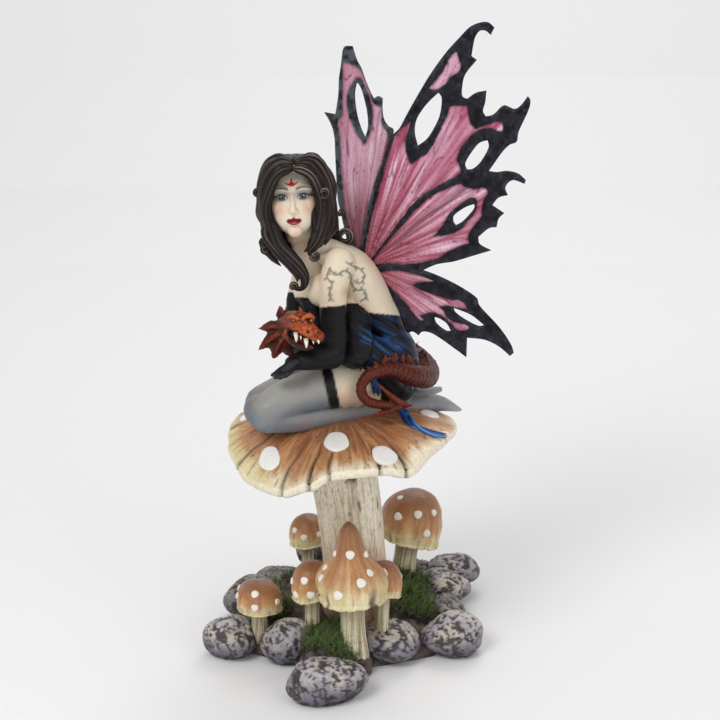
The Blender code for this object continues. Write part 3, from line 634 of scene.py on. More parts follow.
def make_cap():
    n = 340
    q = np.arange(n) * 2 * math.pi / n
    ring = np.stack([np.cos(q), np.sin(q), np.zeros(n)], 1)
    edge_cut, edge_swell, edge_soft = petals(q, 1.0)
    radius = rim(q) * (1 - 0.030 * edge_cut) + 0.0006 * wave(ring, 0.05, 8)
    low, lt = lip(q), lip(q) + 0.0065
    front = smooth(-np.sin(q), -0.2, 0.6)
    rows, shade = [], []
    for f in np.concatenate([np.linspace(0.02, 0.9, 60), 1 - 0.1 * (1 - np.linspace(0, 1, 16)[1:]) ** 1.4]):
        cut, swell, soft = petals(q, f)
        x, y = CAP_X + f * radius * np.cos(q), CAP_Y + f * radius * np.sin(q)
        base = lt + (CAP_TOP - lt) * (1 - f ** 3.0)
        arc = np.stack([np.cos(q) * 4, np.sin(q) * 4, np.full(n, f * 1.1)], 1)
        groove = fbm(arc, 0.30, 3, 5, 0.6)
        fine = wave(arc * np.array([1, 1, 0.3]), 0.06, 6)
        hair = wave(arc * np.array([1, 1, 0.2]), 0.035, 7)
        crack = cut * smooth(f, 0.50 + 0.12 * wave(ring, 0.2, 9), 0.86)
        shallow = soft * smooth(f, 0.35, 0.9)
        vein = smooth(np.abs(wave(arc * np.array([1, 1, 0.5]), 0.16, 12)), 0.06, 0.0) * smooth(f, 0.2, 0.7)
        z = base + (groove * 0.00045 + fine * 0.00018 + hair * 0.00010) * smooth(f, 0.05, 0.5)
        z += (swell - 0.7) * 0.0009 * smooth(f, 0.45, 1.0) - crack * 0.0020 - shallow * 0.0005 - vein * 0.0003
        rows.append(np.stack([x, y, z], 1))
        deg = np.degrees(q)
        side = smooth(np.cos(q), -0.35, -0.9)
        t = smooth(f + groove * 0.07 + fine * 0.025 + 0.05 * wave(ring, 0.5, 61), 0.885, 1.01)
        brown = blend(rgb(150, 94, 60), rgb(188, 132, 88), smooth(groove + 0.4 * fine, -0.5, 0.6))
        brown = blend(brown, rgb(202, 156, 104), smooth(f + groove * 0.15, 0.70, 0.95) * 0.70)
        brown = blend(brown, rgb(128, 80, 58), smooth(f, 0.66, 0.30) * 0.65)
        cream = blend(rgb(238, 228, 200), rgb(216, 202, 146), side * 0.75 + 0.25 * smooth(wave(ring, 0.35, 63), 0, 0.7))
        c = blend(brown, cream, t)
        c = blend(c, rgb(232, 190, 138), smooth(hair + fine, 0.5, 1.2) * 0.30 * (1 - t))
        c = blend(c, rgb(110, 60, 30), smooth(-fine - hair, 0.45, 1.2) * 0.42 * (1 - 0.7 * t))
        c = blend(c, rgb(128, 78, 46), shallow * 0.35)
        c = blend(c, rgb(46, 24, 14), np.clip(crack * 1.25, 0, 0.95))
        c = blend(c, rgb(92, 50, 28), vein * 0.6)
        c = blend(c, rgb(112, 70, 50), smooth(np.sin(q), -0.1, 0.5) * 0.35)
        shade.append(c)
    notch = edge_cut * 0.0024
    for k, (out, drop) in enumerate([(0.5, 0.7), (0.95, 1.9), (1.0, 3.4), (0.6, 4.9), (-0.5, 6.1), (-2.2, 6.7), (-4.4, 6.3)]):
        x = CAP_X + (radius + out / 1000 - notch) * np.cos(q)
        y = CAP_Y + (radius + out / 1000 - notch) * np.sin(q)
        arc = np.stack([np.cos(q) * 4, np.sin(q) * 4, np.full(n, k * 0.03)], 1)
        z = lt + (edge_swell - 0.7) * 0.0009 - np.array(drop) / 1000 * (1 + 0.09 * wave(arc, 0.5, 31)) + 0.00010 * wave(arc, 0.06, 33)
        rows.append(np.stack([x, y, z], 1))
        c = blend(rgb(240, 230, 206), rgb(196, 158, 108), smooth(k + wave(arc, 0.16, 35) * 1.3, 3.4, 6.6))
        c = blend(c, rgb(214, 200, 146), smooth(np.cos(q), -0.35, -0.9) * 0.5)
        shade.append(blend(c, rgb(52, 28, 16), np.clip(edge_cut * 1.1, 0, 0.92)))
    for i, (f, zf) in enumerate([(0.90, 0.10), (0.86, 0.35), (0.80, 0.62), (0.72, 0.78), (0.62, 0.88), (0.52, 0.95), (0.42, 1.0), (0.34, 1.0), (0.30, 1.0)]):
        x, y = CAP_X + f * rim(q) * np.cos(q), CAP_Y + f * rim(q) * np.sin(q)
        gill = np.cos(105 * q)
        z = low + 0.0008 + (0.1485 - low) * zf + gill * 0.0006 * min(1, i / 2)
        rows.append(np.stack([x, y, z], 1))
        # painted shade: the gill rows grow darker towards the stem under the cap
        shade.append(blend(rgb(120, 78, 48), rgb(206, 172, 128), smooth(-gill, -0.8, 0.9)) * (0.9 - 0.04 * i))
    v, f = loft(np.array(rows))
    c = np.vstack([np.vstack(shade), shade[0].mean(0), shade[-1].mean(0)])
    ob = from_arrays("toadstool_cap_paint", v, [x[::-1] for x in f], c)
    settle(ob, "cap", "cap", "toadstool_cap")

    heap = Heap()
    m = 64
    ang = np.arange(m) * 2 * math.pi / m
    for i, (u, v0, ru, rv, tilt) in enumerate([(336.6, 442.6, 12.4, 9.2, 0), (269.6, 459.4, 10.0, 12.0, 22), (384.6, 456.4, 13.2, 8.4, 20)]):
        a = math.radians(tilt)
        wob = 1 + 0.03 * np.sin(3 * ang + i) + 0.02 * np.sin(5 * ang + 2 * i)
        centre = on_cap(u, v0)
        edge_pts = np.array([on_cap(u + math.cos(t) * ru * w * math.cos(a) - math.sin(t) * rv * w * math.sin(a),
                                    v0 + math.cos(t) * ru * w * math.sin(a) + math.sin(t) * rv * w * math.cos(a)) for t, w in zip(ang, wob)])
        rows = []
        for k, h in [(1.0, -1.2), (1.01, 0.25), (0.985, 0.6), (0.94, 0.8), (0.8, 0.9), (0.6, 0.95), (0.35, 0.95), (0.12, 0.95)]:
            pts = centre + (edge_pts - centre) * k
            z = np.array([cap_height(np.array([p[0]]), np.array([p[1]]))[0] for p in pts])
            rows.append(np.stack([pts[:, 0], pts[:, 1], z + h / 1000 + 0.0004], 1))
        v, f = loft(np.array(rows))
        heap.add(v, f, rgb(240, 238, 232))
    centres = []
    for deg, f, a, b in [(47, 0.84, 6.5, 7), (72, 0.60, 7, 7.5), (105, 0.80, 7.5, 7), (140, 0.66, 7.5, 8), (168, 0.84, 6, 7), (5, 0.80, 6, 7), (88, 0.30, 7, 7)]:
        a0 = math.radians(deg)
        centres.append((CAP_X + CAP_R * f * math.cos(a0), CAP_Y + CAP_R * f * math.sin(a0), a, b))
    for i, (x, y, ra, rb) in enumerate(centres):
        e = 1e-4
        g = np.array([cap_height(np.array([x + e]), np.array([y]))[0] - cap_height(np.array([x - e]), np.array([y]))[0],
                      cap_height(np.array([x]), np.array([y + e]))[0] - cap_height(np.array([x]), np.array([y - e]))[0]]) / (2 * e)
        nrm = np.array([-g[0], -g[1], 1.0])
        nrm /= np.linalg.norm(nrm)
        radial = np.array([x - CAP_X, y - CAP_Y, 0])
        radial -= nrm * radial.dot(nrm)
        radial /= np.linalg.norm(radial)
        side = np.cross(nrm, radial)
        m = 48
        ang = np.arange(m) * 2 * math.pi / m
        wob = 1 + 0.05 * np.sin(3 * ang + i) + 0.035 * np.sin(5 * ang + 2 * i)
        rows = []
        for k, h in [(1.0, -0.9), (1.01, 0.3), (0.985, 0.75), (0.93, 1.0), (0.8, 1.12), (0.6, 1.18), (0.35, 1.2), (0.12, 1.2)]:
            px = x + (radial[0] * np.cos(ang) * ra + side[0] * np.sin(ang) * rb) * k * wob / 1000
            py = y + (radial[1] * np.cos(ang) * ra + side[1] * np.sin(ang) * rb) * k * wob / 1000
            pz = cap_height(px, py)
            rows.append(np.stack([px, py, pz], 1) + nrm * h / 1000)
        v, f = loft(np.array(rows))
        heap.add(v, f, rgb(240, 238, 232))
    settle(heap.piece("toadstool_cap_spots"), "spot", "cap", "toadstool_cap")


def make_stem():
    rows, shade = [], []
    n = 210
    q = np.arange(n) * 2 * math.pi / n
    prof = spline([(-1.5, 151, 17), (-1.8, 147, 21.0), (-1.2, 136, 21.6), (-0.2, 122, 21.7), (3.5, 95, 21.0), (6.5, 65, 20.4), (8, 45, 21.0), (8, 30, 22.5), (8, 20, 22.6)], 100)
    for x, z, r in prof:
        ring = np.stack([np.cos(q), np.sin(q), np.full(n, z / 260)], 1)
        g = fbm(ring, 0.085, 3, 3, 0.6)
        tiny = wave(ring * np.array([1, 1, 0.6]), 0.030, 4)
        slow = wave(ring * np.array([1, 1, 0.4]), 0.6, 5)
        track = np.abs(wave(ring * np.array([1, 1, 0.35]), 0.42, 14))
        crack = smooth(track, 0.022, 0.0) * smooth(wave(np.stack([np.cos(q), np.sin(q), np.full(n, z / 9)], 1), 0.9, 15), -0.05, 0.3)
        dots = smooth(wave(np.stack([np.cos(q) * 21, np.sin(q) * 21, np.full(n, z / 1.6)], 1), 0.9, 17), 0.62, 0.8)
        rr = (r - 0.3 + g * 0.38 + tiny * 0.10 + slow * 0.7 - crack * 1.0 - dots * 0.25) / 1000
        rows.append(np.stack([x / 1000 - CENTRE[0] + rr * np.cos(q), 0.001 - CENTRE[1] + rr * np.sin(q), np.full(n, z / 1000)], 1))
        c = blend(rgb(194, 180, 148), rgb(238, 228, 206), smooth(g + tiny * 0.5, -0.75, 0.25))
        c = blend(c, rgb(186, 184, 156), smooth(slow, -0.1, 0.6) * 0.30)
        c = blend(c, rgb(206, 172, 124), smooth(wave(ring, 0.5, 55), 0.1, 0.7) * 0.30)
        c = blend(c, rgb(48, 34, 24), np.clip(crack * 1.1 + dots * 0.6, 0, 0.95))
        c = blend(c, rgb(176, 112, 74), float(smooth(z, 88, 40)) * (0.25 + 0.45 * smooth(np.cos(q), 0.0, 0.7)))
        # darker towards the foot, and darker at the top as painted shade under the cap
        c = blend(c, rgb(104, 84, 58), float(smooth(z, 50, 26)) * 0.45 + float(smooth(z, 138, 150)) * 0.5)
        shade.append(c)
    v, f = loft(np.array(rows))
    c = np.vstack([np.vstack(shade), shade[0].mean(0), shade[-1].mean(0)])
    settle(from_arrays("toadstool_stem_paint", v, [x[::-1] for x in f], c), "stem", "stem", "toadstool_stem")


# ================================================================ small toadstools
KNOB = [(0.0, 0.88), (0.05, 0.94), (0.15, 1.0), (0.25, 0.96), (0.35, 0.82), (0.43, 0.65), (0.52, 0.51), (0.64, 0.41), (0.77, 0.33), (0.88, 0.25), (0.95, 0.16), (1.0, 0.04)]
DOME = [(0.0, 0.86), (0.07, 0.94), (0.18, 0.99), (0.32, 1.0), (0.48, 0.97), (0.62, 0.915), (0.74, 0.82), (0.84, 0.70), (0.91, 0.54), (0.96, 0.36), (0.99, 0.18), (1.0, 0.04)]


def small_toadstool(heap, spots, foot, stem_r, cap_r, rim_h, top_h, lean=(0, 0), bell=1.0, seed=0.0, frill=0.0, dots=(), shape=None, warm=0.0, tilt=0.0):
    n = 150
    q = np.arange(n) * 2 * math.pi / n
    ring = np.stack([np.cos(q), np.sin(q), np.zeros(n)], 1)

    def girth(f):
        if shape is None:
            return (1 - f ** 2.0) ** (0.5 * bell)
        t = np.array(shape)
        g0 = [np.interp(np.clip(f + e, 0, 1), t[:, 0], t[:, 1]) for e in (-0.03, -0.015, 0.0, 0.015, 0.03)]
        return float(g0[2] if f > 0.93 else np.mean(g0))

    prof = [(-5, stem_r * 1.15, 0), (0, stem_r * 1.15, 0), (rim_h * 0.3, stem_r * 0.95, 0), (rim_h * 0.6, stem_r * 0.88, 0), (rim_h + 1.0, stem_r * 0.95, 0),
            (rim_h + 2.0, cap_r * 0.55, 1), (rim_h + 1.4, cap_r * 0.78, 1), (rim_h, cap_r * 0.92, 1), (rim_h - 0.3, cap_r * 0.965, 1), (rim_h + 0.1, cap_r * 0.99, 2)]
    for f in np.concatenate([np.linspace(0.03, 0.9, 44), [0.93, 0.955, 0.975, 0.99, 1.0]]):
        prof.append((rim_h + 0.1 + (top_h - rim_h - 0.1) * f, cap_r * girth(f), 2 + f))
    rows, shade = [], []
    for h, r, kind in prof:
        f = kind - 2 if kind >= 2 else -1
        ripple = 1 + 0.03 * np.sin(3 * q + seed) + 0.018 * np.sin(5 * q + 2 * seed)
        arc = np.stack([np.cos(q) * 1.6, np.sin(q) * 1.6, np.full(n, h / 70)], 1)
        g = fbm(arc, 0.30, 3, int(seed * 10) + 3, 0.6)
        g2 = wave(arc * np.array([1, 1, 0.5]), 0.075, int(seed * 10) + 9)
        nick = wave(ring, 0.42, int(seed * 10) + 5)
        notch = smooth(np.abs(nick), 0.07, 0.0) * frill
        scallop = np.abs(np.sin(9 * q + seed + 1.2 * nick))
        if kind >= 1:
            skirt = smooth(f, 0.38, 0.0) if f >= 0 else 1.0
            rr = r * ripple * (1 + 0.010 * g + 0.05 * frill * skirt * wave(ring, 0.8, 71)) * (1 - 0.05 * notch * skirt)
            z = h + notch * skirt * 0.9 + frill * skirt * (1.8 * wave(ring, 0.75, 77) - 0.9 * scallop * smooth(f, 0.12, 0.0)) + (0.35 * np.cos(52 * q) if kind == 1 and r > stem_r else 0)
            z = z + 0.12 * g2 * skirt - tilt * rr * np.cos(q) * (1 - max(f, 0) ** 2)
        else:
            rr = r * ripple * (1 + 0.05 * g)
            z = np.full(n, float(h))
        rows.append(np.stack([foot[0] + (lean[0] * h + rr * np.cos(q)) / 1000, foot[1] + (lean[1] * h + rr * np.sin(q)) / 1000, foot[2] + z / 1000], 1))
        if kind == 0:
            c = blend(rgb(150, 140, 104), rgb(230, 220, 190), smooth(g + 0.5 * g2, -0.5, 0.5))
            # painted shade: the stem darker towards its top, under the cap
            c = blend(c, rgb(112, 82, 48), float(smooth(h, rim_h * 0.55, rim_h + 1)) * 0.6)
        elif kind == 1:
            c = blend(rgb(206, 164, 112), rgb(140, 92, 54), smooth(np.cos(52 * q), -0.8, 0.8) * 0.7)
        else:
            t = smooth(f + g * 0.16 + g2 * 0.03, 0.02, 0.42 - 0.10 * warm)
            brown = blend(rgb(198, 148, 94), rgb(176, 122, 74), smooth(g, -0.3, 0.4))
            c = blend(rgb(238, 226, 180), brown, t)
            c = blend(c, rgb(206, 188, 112), smooth(wave(ring, 0.7, 81), 0.1, 0.7) * smooth(f, 0.35, 0.1) * 0.45)
            c = blend(c, rgb(148, 95, 58), smooth(f + g * 0.08, 0.42, 0.72) * 0.75)
            c = blend(c, rgb(116, 72, 48), smooth(f, 0.75, 1.0) * 0.55)
            c = blend(c, rgb(150, 98, 56), smooth(-g2, 0.25, 0.8) * smooth(f, 0.5, 0.05) * 0.50)
            c = blend(c, rgb(250, 240, 208), smooth(g2, 0.3, 0.8) * smooth(f, 0.45, 0.05) * 0.35)
            c = blend(c, rgb(58, 34, 20), notch * smooth(f, 0.30, 0.02) * 0.85)
        shade.append(c)
    v, fcs = loft(np.array(rows))
    heap.add(v, fcs, np.vstack([np.vstack(shade), shade[0].mean(0), shade[-1].mean(0)]))

    def surface(ang, f):
        r = cap_r * girth(f)
        h = rim_h + 0.1 + (top_h - rim_h - 0.1) * f
        drop = tilt * r * math.cos(ang) * (1 - f ** 2)
        rr = r * (1 + 0.03 * math.sin(3 * ang + seed) + 0.018 * math.sin(5 * ang + 2 * seed))
        return np.array([foot[0] + (lean[0] * h + rr * math.cos(ang)) / 1000, foot[1] + (lean[1] * h + rr * math.sin(ang)) / 1000, foot[2] + (h - drop) / 1000])

    for j, (deg, f, size) in enumerate(dots):
        a = math.radians(deg)
        p = surface(a, f)
        ta, tf = surface(a + 0.02, f) - surface(a - 0.02, f), surface(a, min(0.99, f + 0.01)) - surface(a, f - 0.01)
        nrm = np.cross(ta, tf)
        nrm /= np.linalg.norm(nrm)
        if nrm @ (p - np.array([foot[0], foot[1], foot[2] + rim_h / 1000])) < 0:
            nrm = -nrm
        ta /= np.linalg.norm(ta)
        tb = np.cross(nrm, ta)
        ang = np.arange(28) * 2 * math.pi / 28
        wob = 1 + 0.06 * np.sin(3 * ang + j)
        ring2 = []
        for k, h in [(1.0, -1.4), (1.03, 0.1), (0.95, 0.5), (0.75, 0.7), (0.4, 0.8), (0.12, 0.8)]:
            ring2.append(p + (np.outer(np.cos(ang) * wob, ta) + np.outer(np.sin(ang) * wob, tb)) * size * k / 1000 + nrm * h / 1000)
        v, f2 = loft(np.array(ring2))
        spots.add(v, f2, rgb(240, 236, 226))


def make_small():
    for name, slot_nodes, items in [
        ("toadstool_front_left", ["toadstool_front_left"],
         [((plan(-54.5, -14.0, 13), 5.6, 14.8, 18.5, 36.4), dict(seed=1.0, frill=0.45, shape=DOME, tilt=0.06,
           dots=[(-96, 0.36, 2.3), (-98, 0.80, 2.4), (-30, 0.42, 2.0), (-165, 0.5, 2.0), (40, 0.5, 2.2), (110, 0.4, 2.2), (160, 0.6, 2.0)]))]),
        ("toadstool_cluster", ["toadstool_cluster"],
         [((plan(6.6, -44.0, 13), 8.4, 22.8, 41.5, 90.5), dict(lean=(-0.034, 0.02), seed=0.3, frill=1.0, shape=KNOB,
           dots=[(-88, 0.64, 2.7), (-110, 0.20, 2.9), (-70, 0.34, 3.0), (-40, 0.40, 2.5), (-160, 0.60, 1.9), (-14, 0.58, 2.1), (-172, 0.40, 2.2),
                 (20, 0.24, 2.8), (70, 0.22, 3.0), (110, 0.50, 2.6), (160, 0.25, 3.0), (200, 0.30, 2.4)])),
          ((plan(-19.6, -30.0, 15), 5.2, 13.2, 33.5, 56.8), dict(lean=(0.0, -0.02), seed=2.3, frill=0.5, warm=0.6, shape=DOME, tilt=-0.12,
           dots=[(-112, 0.66, 2.4), (-92, 0.26, 2.5), (-140, 0.22, 2.4), (-170, 0.5, 2.2), (120, 0.5, 2.2)])),
          ((plan(24.0, -27.0, 15), 4.8, 11.8, 35.0, 53.8), dict(lean=(0.04, 0.02), seed=4.1, frill=0.5, warm=0.6, shape=DOME, tilt=0.25,
           dots=[(20, 0.5, 2.2), (70, 0.3, 2.0), (120, 0.4, 2.2)]))]),
        ("toadstool_right", ["toadstool_right"],
         [((plan(38.5, 60.0, 12), 8.8, 21.0, 35.5, 68.8), dict(lean=(0.14, 0.0), shape=DOME, tilt=0.24, seed=3.0, frill=0.5,
           dots=[(-82, 0.70, 2.7), (-44, 0.72, 2.2), (-122, 0.60, 2.6), (-62, 0.36, 2.6), (-150, 0.90, 2.0), (-8, 0.40, 2.4), (15, 0.6, 2.6), (60, 0.4, 2.8), (110, 0.6, 2.6), (160, 0.35, 2.8)]))]),
        ("toadstool_back", ["toadstool_back"],
         [((plan(-25.0, 62.0, 14), 4.6, 12.4, 28.0, 48.2), dict(seed=5.0, frill=0.5, shape=DOME, tilt=-0.10,
           dots=[(-100, 0.42, 2.3), (-140, 0.60, 2.0), (-50, 0.45, 1.9), (60, 0.4, 2.0), (130, 0.5, 2.0)]))]),
    ]:
        heap, spots = Heap(), Heap()
        for a, k in items:
            small_toadstool(heap, spots, *a, **k)
        settle(heap.piece(name + "_paint"), "cap", "small_caps", *slot_nodes)
        settle(spots.piece(name + "_spots"), "spot", "small_caps", *slot_nodes)


# ================================================================ moss
def make_moss():
    rng = np.random.default_rng(7)
    pads = [("moss_front", (331, 640, 20), (17, 15), 1100), ("moss_right", (405, 606, 20), (19, 16), 1350),
            ("moss_back_right", (415, 572, 24), (13, 13), 850), ("moss_left", (276, 612, 20), (12, 9), 500)]
    extra = {"moss_front": [(-18, -42, 8), (2, -54, 8), (-6, -54, 7)], "moss_right": [(52, 6, 9), (46, 26, 10), (20, -30, 7)],
             "moss_back_right": [(30, 74, 9), (0, 74, 9), (-8, 62, 8)], "moss_left": [(-48, 22, 9), (-40, 44, 9)]}
    for name, (u, v, z), (rx, ry), count in pads:
        c = at_height(u, v, z)
        cx, cy = (c[0] + CENTRE[0]) * 1000, (c[1] + CENTRE[1]) * 1000
        a, r = rng.uniform(0, 2 * math.pi, count), np.sqrt(rng.uniform(0, 1, count))
        x, y = cx + rx * r * np.cos(a), cy + ry * r * np.sin(a)
        for ex, ey, er in extra[name]:
            m = int(count * 0.18)
            a, r = rng.uniform(0, 2 * math.pi, m), np.sqrt(rng.uniform(0, 1, m))
            x, y = np.append(x, ex + er * r * np.cos(a)), np.append(y, ey + er * r * np.sin(a))
        n = len(x)
        h = earth_top(x, y) + rng.uniform(-0.5, 3.2, n)
        keep = h > 9
        x, y, h, n = x[keep], y[keep], h[keep], int(keep.sum())
        length, w = rng.uniform(4.0, 8.0, n), rng.uniform(0.30, 0.62, n)
        lean = rng.normal(0, 0.62, (n, 2))
        bend = rng.normal(0, 0.5, (n, 2))
        tone = rng.uniform(0, 1, n)
        p0 = np.stack([x, y, h], 1)
        d0 = np.stack([lean[:, 0], lean[:, 1], np.ones(n)], 1)
        d0 /= np.linalg.norm(d0, axis=1)[:, None]
        d1 = d0 + np.stack([bend[:, 0], bend[:, 1], -0.2 * np.ones(n)], 1)
        d1 /= np.linalg.norm(d1, axis=1)[:, None]
        pts = [p0, p0 + d0 * (length * 0.5)[:, None], p0 + d0 * (length * 0.5)[:, None] + d1 * (length * 0.5)[:, None]]
        side = np.cross(d0, rng.normal(0, 1, (n, 3)))
        side /= np.linalg.norm(side, axis=1)[:, None]
        up = np.cross(d0, side)
        verts, cols = [], []
        base = blend(rgb(34, 58, 20), rgb(128, 158, 58), tone ** 1.2)
        # painted shade and light: each fibre darker at its root down in the mat and lighter at its tip
        for k, (p, s) in enumerate(zip(pts[:2], (1.0, 0.8))):
            for j in range(3):
                t = 2 * math.pi * j / 3
                verts.append(p + (side * math.cos(t) + up * math.sin(t)) * (w * s * 0.5)[:, None])
                cols.append(base * (0.45 + 0.4 * k))
        verts.append(pts[2])
        cols.append(base * 1.2)
        v = np.stack(verts, 1)
        v[:, :, 0] -= CENTRE[0] * 1000
        v[:, :, 1] -= CENTRE[1] * 1000
        col = np.stack(cols, 1)
        tris = np.array([[0, 1, 4], [0, 4, 3], [1, 2, 5], [1, 5, 4], [2, 0, 3], [2, 3, 5], [3, 4, 6], [4, 5, 6], [5, 3, 6], [2, 1, 0]])
        faces = (tris[None] + (np.arange(n) * 7)[:, None, None]).reshape(-1, 3)
        vv = v.reshape(-1, 3) / 1000
        vv[:, 2] = np.maximum(vv[:, 2], 0.0005)
        settle(from_arrays(name + "_fibre", vv, faces, col.reshape(-1, 3)), "moss", "moss", name)


# ================================================================ wings
def plane_through(a, b, c):
    n = np.cross(b - a, c - a)
    n /= np.linalg.norm(n)
    return a, (n if n[1] < 0 else -n)


NEAR_PLANE = plane_through(at(372, 266, 6), at(530, 266, -12), at(440, 40, 14))
FAR_PLANE = plane_through(at(366, 262, 13), at(324, 112, 78), at(394, 133, 19))
RIGHT_ROOT = on_plane(361, 255, *FAR_PLANE)
LEFT_WING = [
    (363, 252), (366, 229), (371, 206), (378, 177), (386, 150), (392, 136), (399.5, 128), (407, 114), (416.4, 97.3),
    (430.2, 74.3), (445.5, 53), (459.3, 37.6), (470, 26.8), (480.7, 22.3), (488.4, 22.3), (494.5, 27.5), (490.7, 35),
    (485.3, 30.7), (479.2, 31.4), (474.6, 39.1), (471.5, 56), (476.9, 59.8), (465.4, 74.3), (462.3, 86.6), (462.3, 95.8),
    (467, 98.8), (476, 92.7), (486.5, 90.4), (485.3, 101.9), (483, 111), (486, 116.4), (493.7, 114.1), (503.7, 105.3),
    (514.4, 108.8), (521, 105), (527.9, 96), (530.5, 101), (528.2, 111), (519, 131), (516.7, 141.7), (509.8, 144.8),
    (502.1, 152.4), (489.1, 170.8), (497, 172), (506.7, 170.8), (517.5, 173.1), (525.9, 180), (524.5, 183.8),
    (512.7, 180.2), (505.5, 187), (507.8, 195.2), (498.7, 197.7), (492.4, 205), (504.3, 213.1), (498.7, 218.7),
    (496.6, 227.1), (488.8, 228.5), (478.3, 237), (480, 244), (491.4, 250.3), (470.6, 256.6), (453.8, 261.5),
    (437, 264.3), (423.6, 270), (439.8, 276.2), (459.4, 286), (476.2, 297.3), (480, 306), (495.9, 323.2), (504.3, 333.7),
    (511.3, 345), (513.8, 352.7), (510, 356), (498.7, 346.4), (484.6, 339.8), (467.1, 337.7), (466.4, 357.3),
    (456, 349.5), (434.2, 334.4), (423, 331.6), (418.7, 335.4), (413, 331.6), (406.1, 330.9), (398.4, 311.3),
    (390.7, 295.9), (380.5, 281), (372, 270)]
LEFT_HOLES = [
    [(438.6, 92.7), (441.7, 98.8), (440, 114), (434.8, 126.4), (427, 138.6), (417.9, 145.5), (414.9, 132.5), (416.4, 120.3),
     (422.5, 109.5), (430.2, 100.4)],
    [(487.6, 140.2), (488.4, 147.8), (480.7, 161.6), (473, 168.5), (466.9, 169.3), (465.4, 163.1), (471.5, 152.4), (479.2, 143.2)],
    [(474.1, 204), (474.1, 208), (469.2, 214.5), (462.2, 221.5), (455.9, 225), (453.5, 221), (454.5, 215), (465, 207.5)],
    [(453.8, 308), (462.2, 311), (472, 315.5), (484, 325), (479, 325.8), (470.6, 322.2), (462.2, 317.2), (455.5, 312)],
    [(434.5, 317), (439.8, 318.6), (446.8, 323.6), (450.8, 330.8), (446.8, 330.6), (441, 327), (436, 322)]]
LEFT_VEINS = [
    ([(366, 252), (372, 228), (380, 195), (390, 160), (400, 132), (412, 108), (430, 78), (450, 52), (474, 28)], 5.5, 5.0, 1),
    ([(368, 262), (382, 243), (400, 222), (414, 206), (428, 193), (441, 185), (455, 180), (472, 176), (489, 173), (515, 178)], 2.2, 4.2, 1),
    ([(372, 262), (395, 240), (420, 220), (440, 207), (460, 196), (480, 186)], 1.0, 2.2, 0.8),
    ([(374, 266), (400, 255), (430, 244), (455, 238), (480, 240)], 1.0, 2.2, 0.8),
    ([(370, 266), (392, 266), (408, 266.5), (424, 268), (445, 262), (470, 256)], 2.8, 4.0, 1),
    ([(374, 269), (400, 271), (424, 273), (445, 280), (470, 295), (490, 318), (505, 338)], 2.4, 5.0, 1),
    ([(374, 271), (386, 288), (396, 306), (406, 328)], 2.6, 3.6, 1),
    ([(376, 272), (400, 285), (425, 298), (450, 312), (480, 334)], 0.9, 1.8, 0.7),
    ([(368, 258), (380, 228), (395, 195), (408, 165), (416, 146)], 0.9, 1.6, 0.6),
    ([(369, 259), (392, 222), (420, 180), (440, 145), (455, 110), (462, 92)], 0.9, 1.8, 0.6),
    ([(370, 260), (400, 225), (430, 190), (455, 165), (466, 155)], 0.8, 1.4, 0.6)]
RIGHT_FORE = [
    (356, 254), (349, 246), (344.5, 229), (341, 213), (338, 200), (336.6, 180), (335.4, 155), (334.5, 137), (331, 124),
    (324.3, 112), (335.5, 114), (338.3, 96), (339, 80), (341, 65), (343, 50), (346, 46), (352.5, 46), (357, 60), (361.3, 68),
    (366, 81), (371, 93), (374, 98.5), (378.5, 96), (382.5, 98), (382.5, 110), (384, 119), (388, 125.5), (393.5, 131),
    (388, 150), (382, 172), (375, 200), (370, 225), (365, 250), (362, 258)]
RIGHT_HOLE = [(357, 82), (355, 92), (355.5, 104), (358, 118), (362, 130), (365.5, 137), (368, 127), (367.5, 114), (365, 101), (361, 88)]
RIGHT_VEINS = [
    ([(357, 254), (347, 225), (340, 190), (337, 150), (338, 110), (342, 70), (349, 47)], 3.0, 3.2, 1),
    ([(358, 254), (352, 220), (348, 180), (348, 140), (351, 110)], 0.8, 1.6, 0.6),
    ([(360, 254), (360, 215), (361, 175), (364, 140)], 0.8, 1.6, 0.6),
    ([(362, 256), (369, 222), (377, 185), (386, 150), (393, 131)], 2.2, 2.6, 1),
    ([(361, 252), (366, 215), (372, 175), (377, 140), (380, 112)], 0.7, 1.4, 0.6)]
HIND = [(374, 270), (392, 266), (408, 267), (424, 270), (439.8, 276.2), (459.4, 286), (476.2, 297.3), (480, 306), (495.9, 323.2),
        (511.3, 345), (513.8, 352.7), (510, 356), (498.7, 346.4), (484.6, 339.8), (467.1, 337.7), (466.4, 357.3), (456, 349.5),
        (434.2, 334.4), (423, 331.6), (418.7, 335.4), (413, 331.6), (406.1, 330.9), (398.4, 311.3), (390.7, 295.9), (380.5, 281)]
PANE_MAIN = [(365, 257), (368, 234), (375.5, 206), (381, 185), (388.5, 158), (396, 135), (410.8, 121.7), (406.7, 135), (405.4, 147), (409.4, 162),
             (412.7, 164.5), (420, 157.5), (426, 154.7), (432, 147), (438, 136), (443, 125), (448, 115.5), (450, 107), (455, 105.8), (467.3, 106.2),
             (468.6, 116.3), (470.6, 123), (475.4, 128.4), (480.7, 127), (488.8, 124.4), (496.9, 121.7), (503, 123), (503, 129), (500.3, 131),
             (489, 127.5), (478, 130), (470, 136.5), (463, 144.6), (459, 152.7), (457, 159.4), (459, 165), (461, 170), (458, 174), (446, 181),
             (436, 187), (425, 193), (412, 205), (399, 221), (386, 239), (376, 252), (369, 262)]
PANE_TIP = [(456.5, 51.7), (460.6, 63.8), (459, 70.6), (451, 76), (444.4, 84.7), (435, 89.4), (429.6, 88), (437.7, 78.6), (444.4, 69.2), (449.8, 58.5)]
PANE_LOW = [(372, 262), (392, 237.6), (403.6, 224.8), (416.3, 209.5), (431.6, 196.8), (447, 189), (459.7, 184), (465, 186.6), (474, 189), (484, 188),
            (487, 192), (484, 199), (482, 206), (481.4, 211), (480.7, 217), (472.4, 227.4), (468, 236.3), (468.6, 242.7), (461, 245.3), (447, 251.6),
            (436.7, 258), (421.4, 261.8), (406, 263.6), (388.3, 262.4), (374, 264.4)]
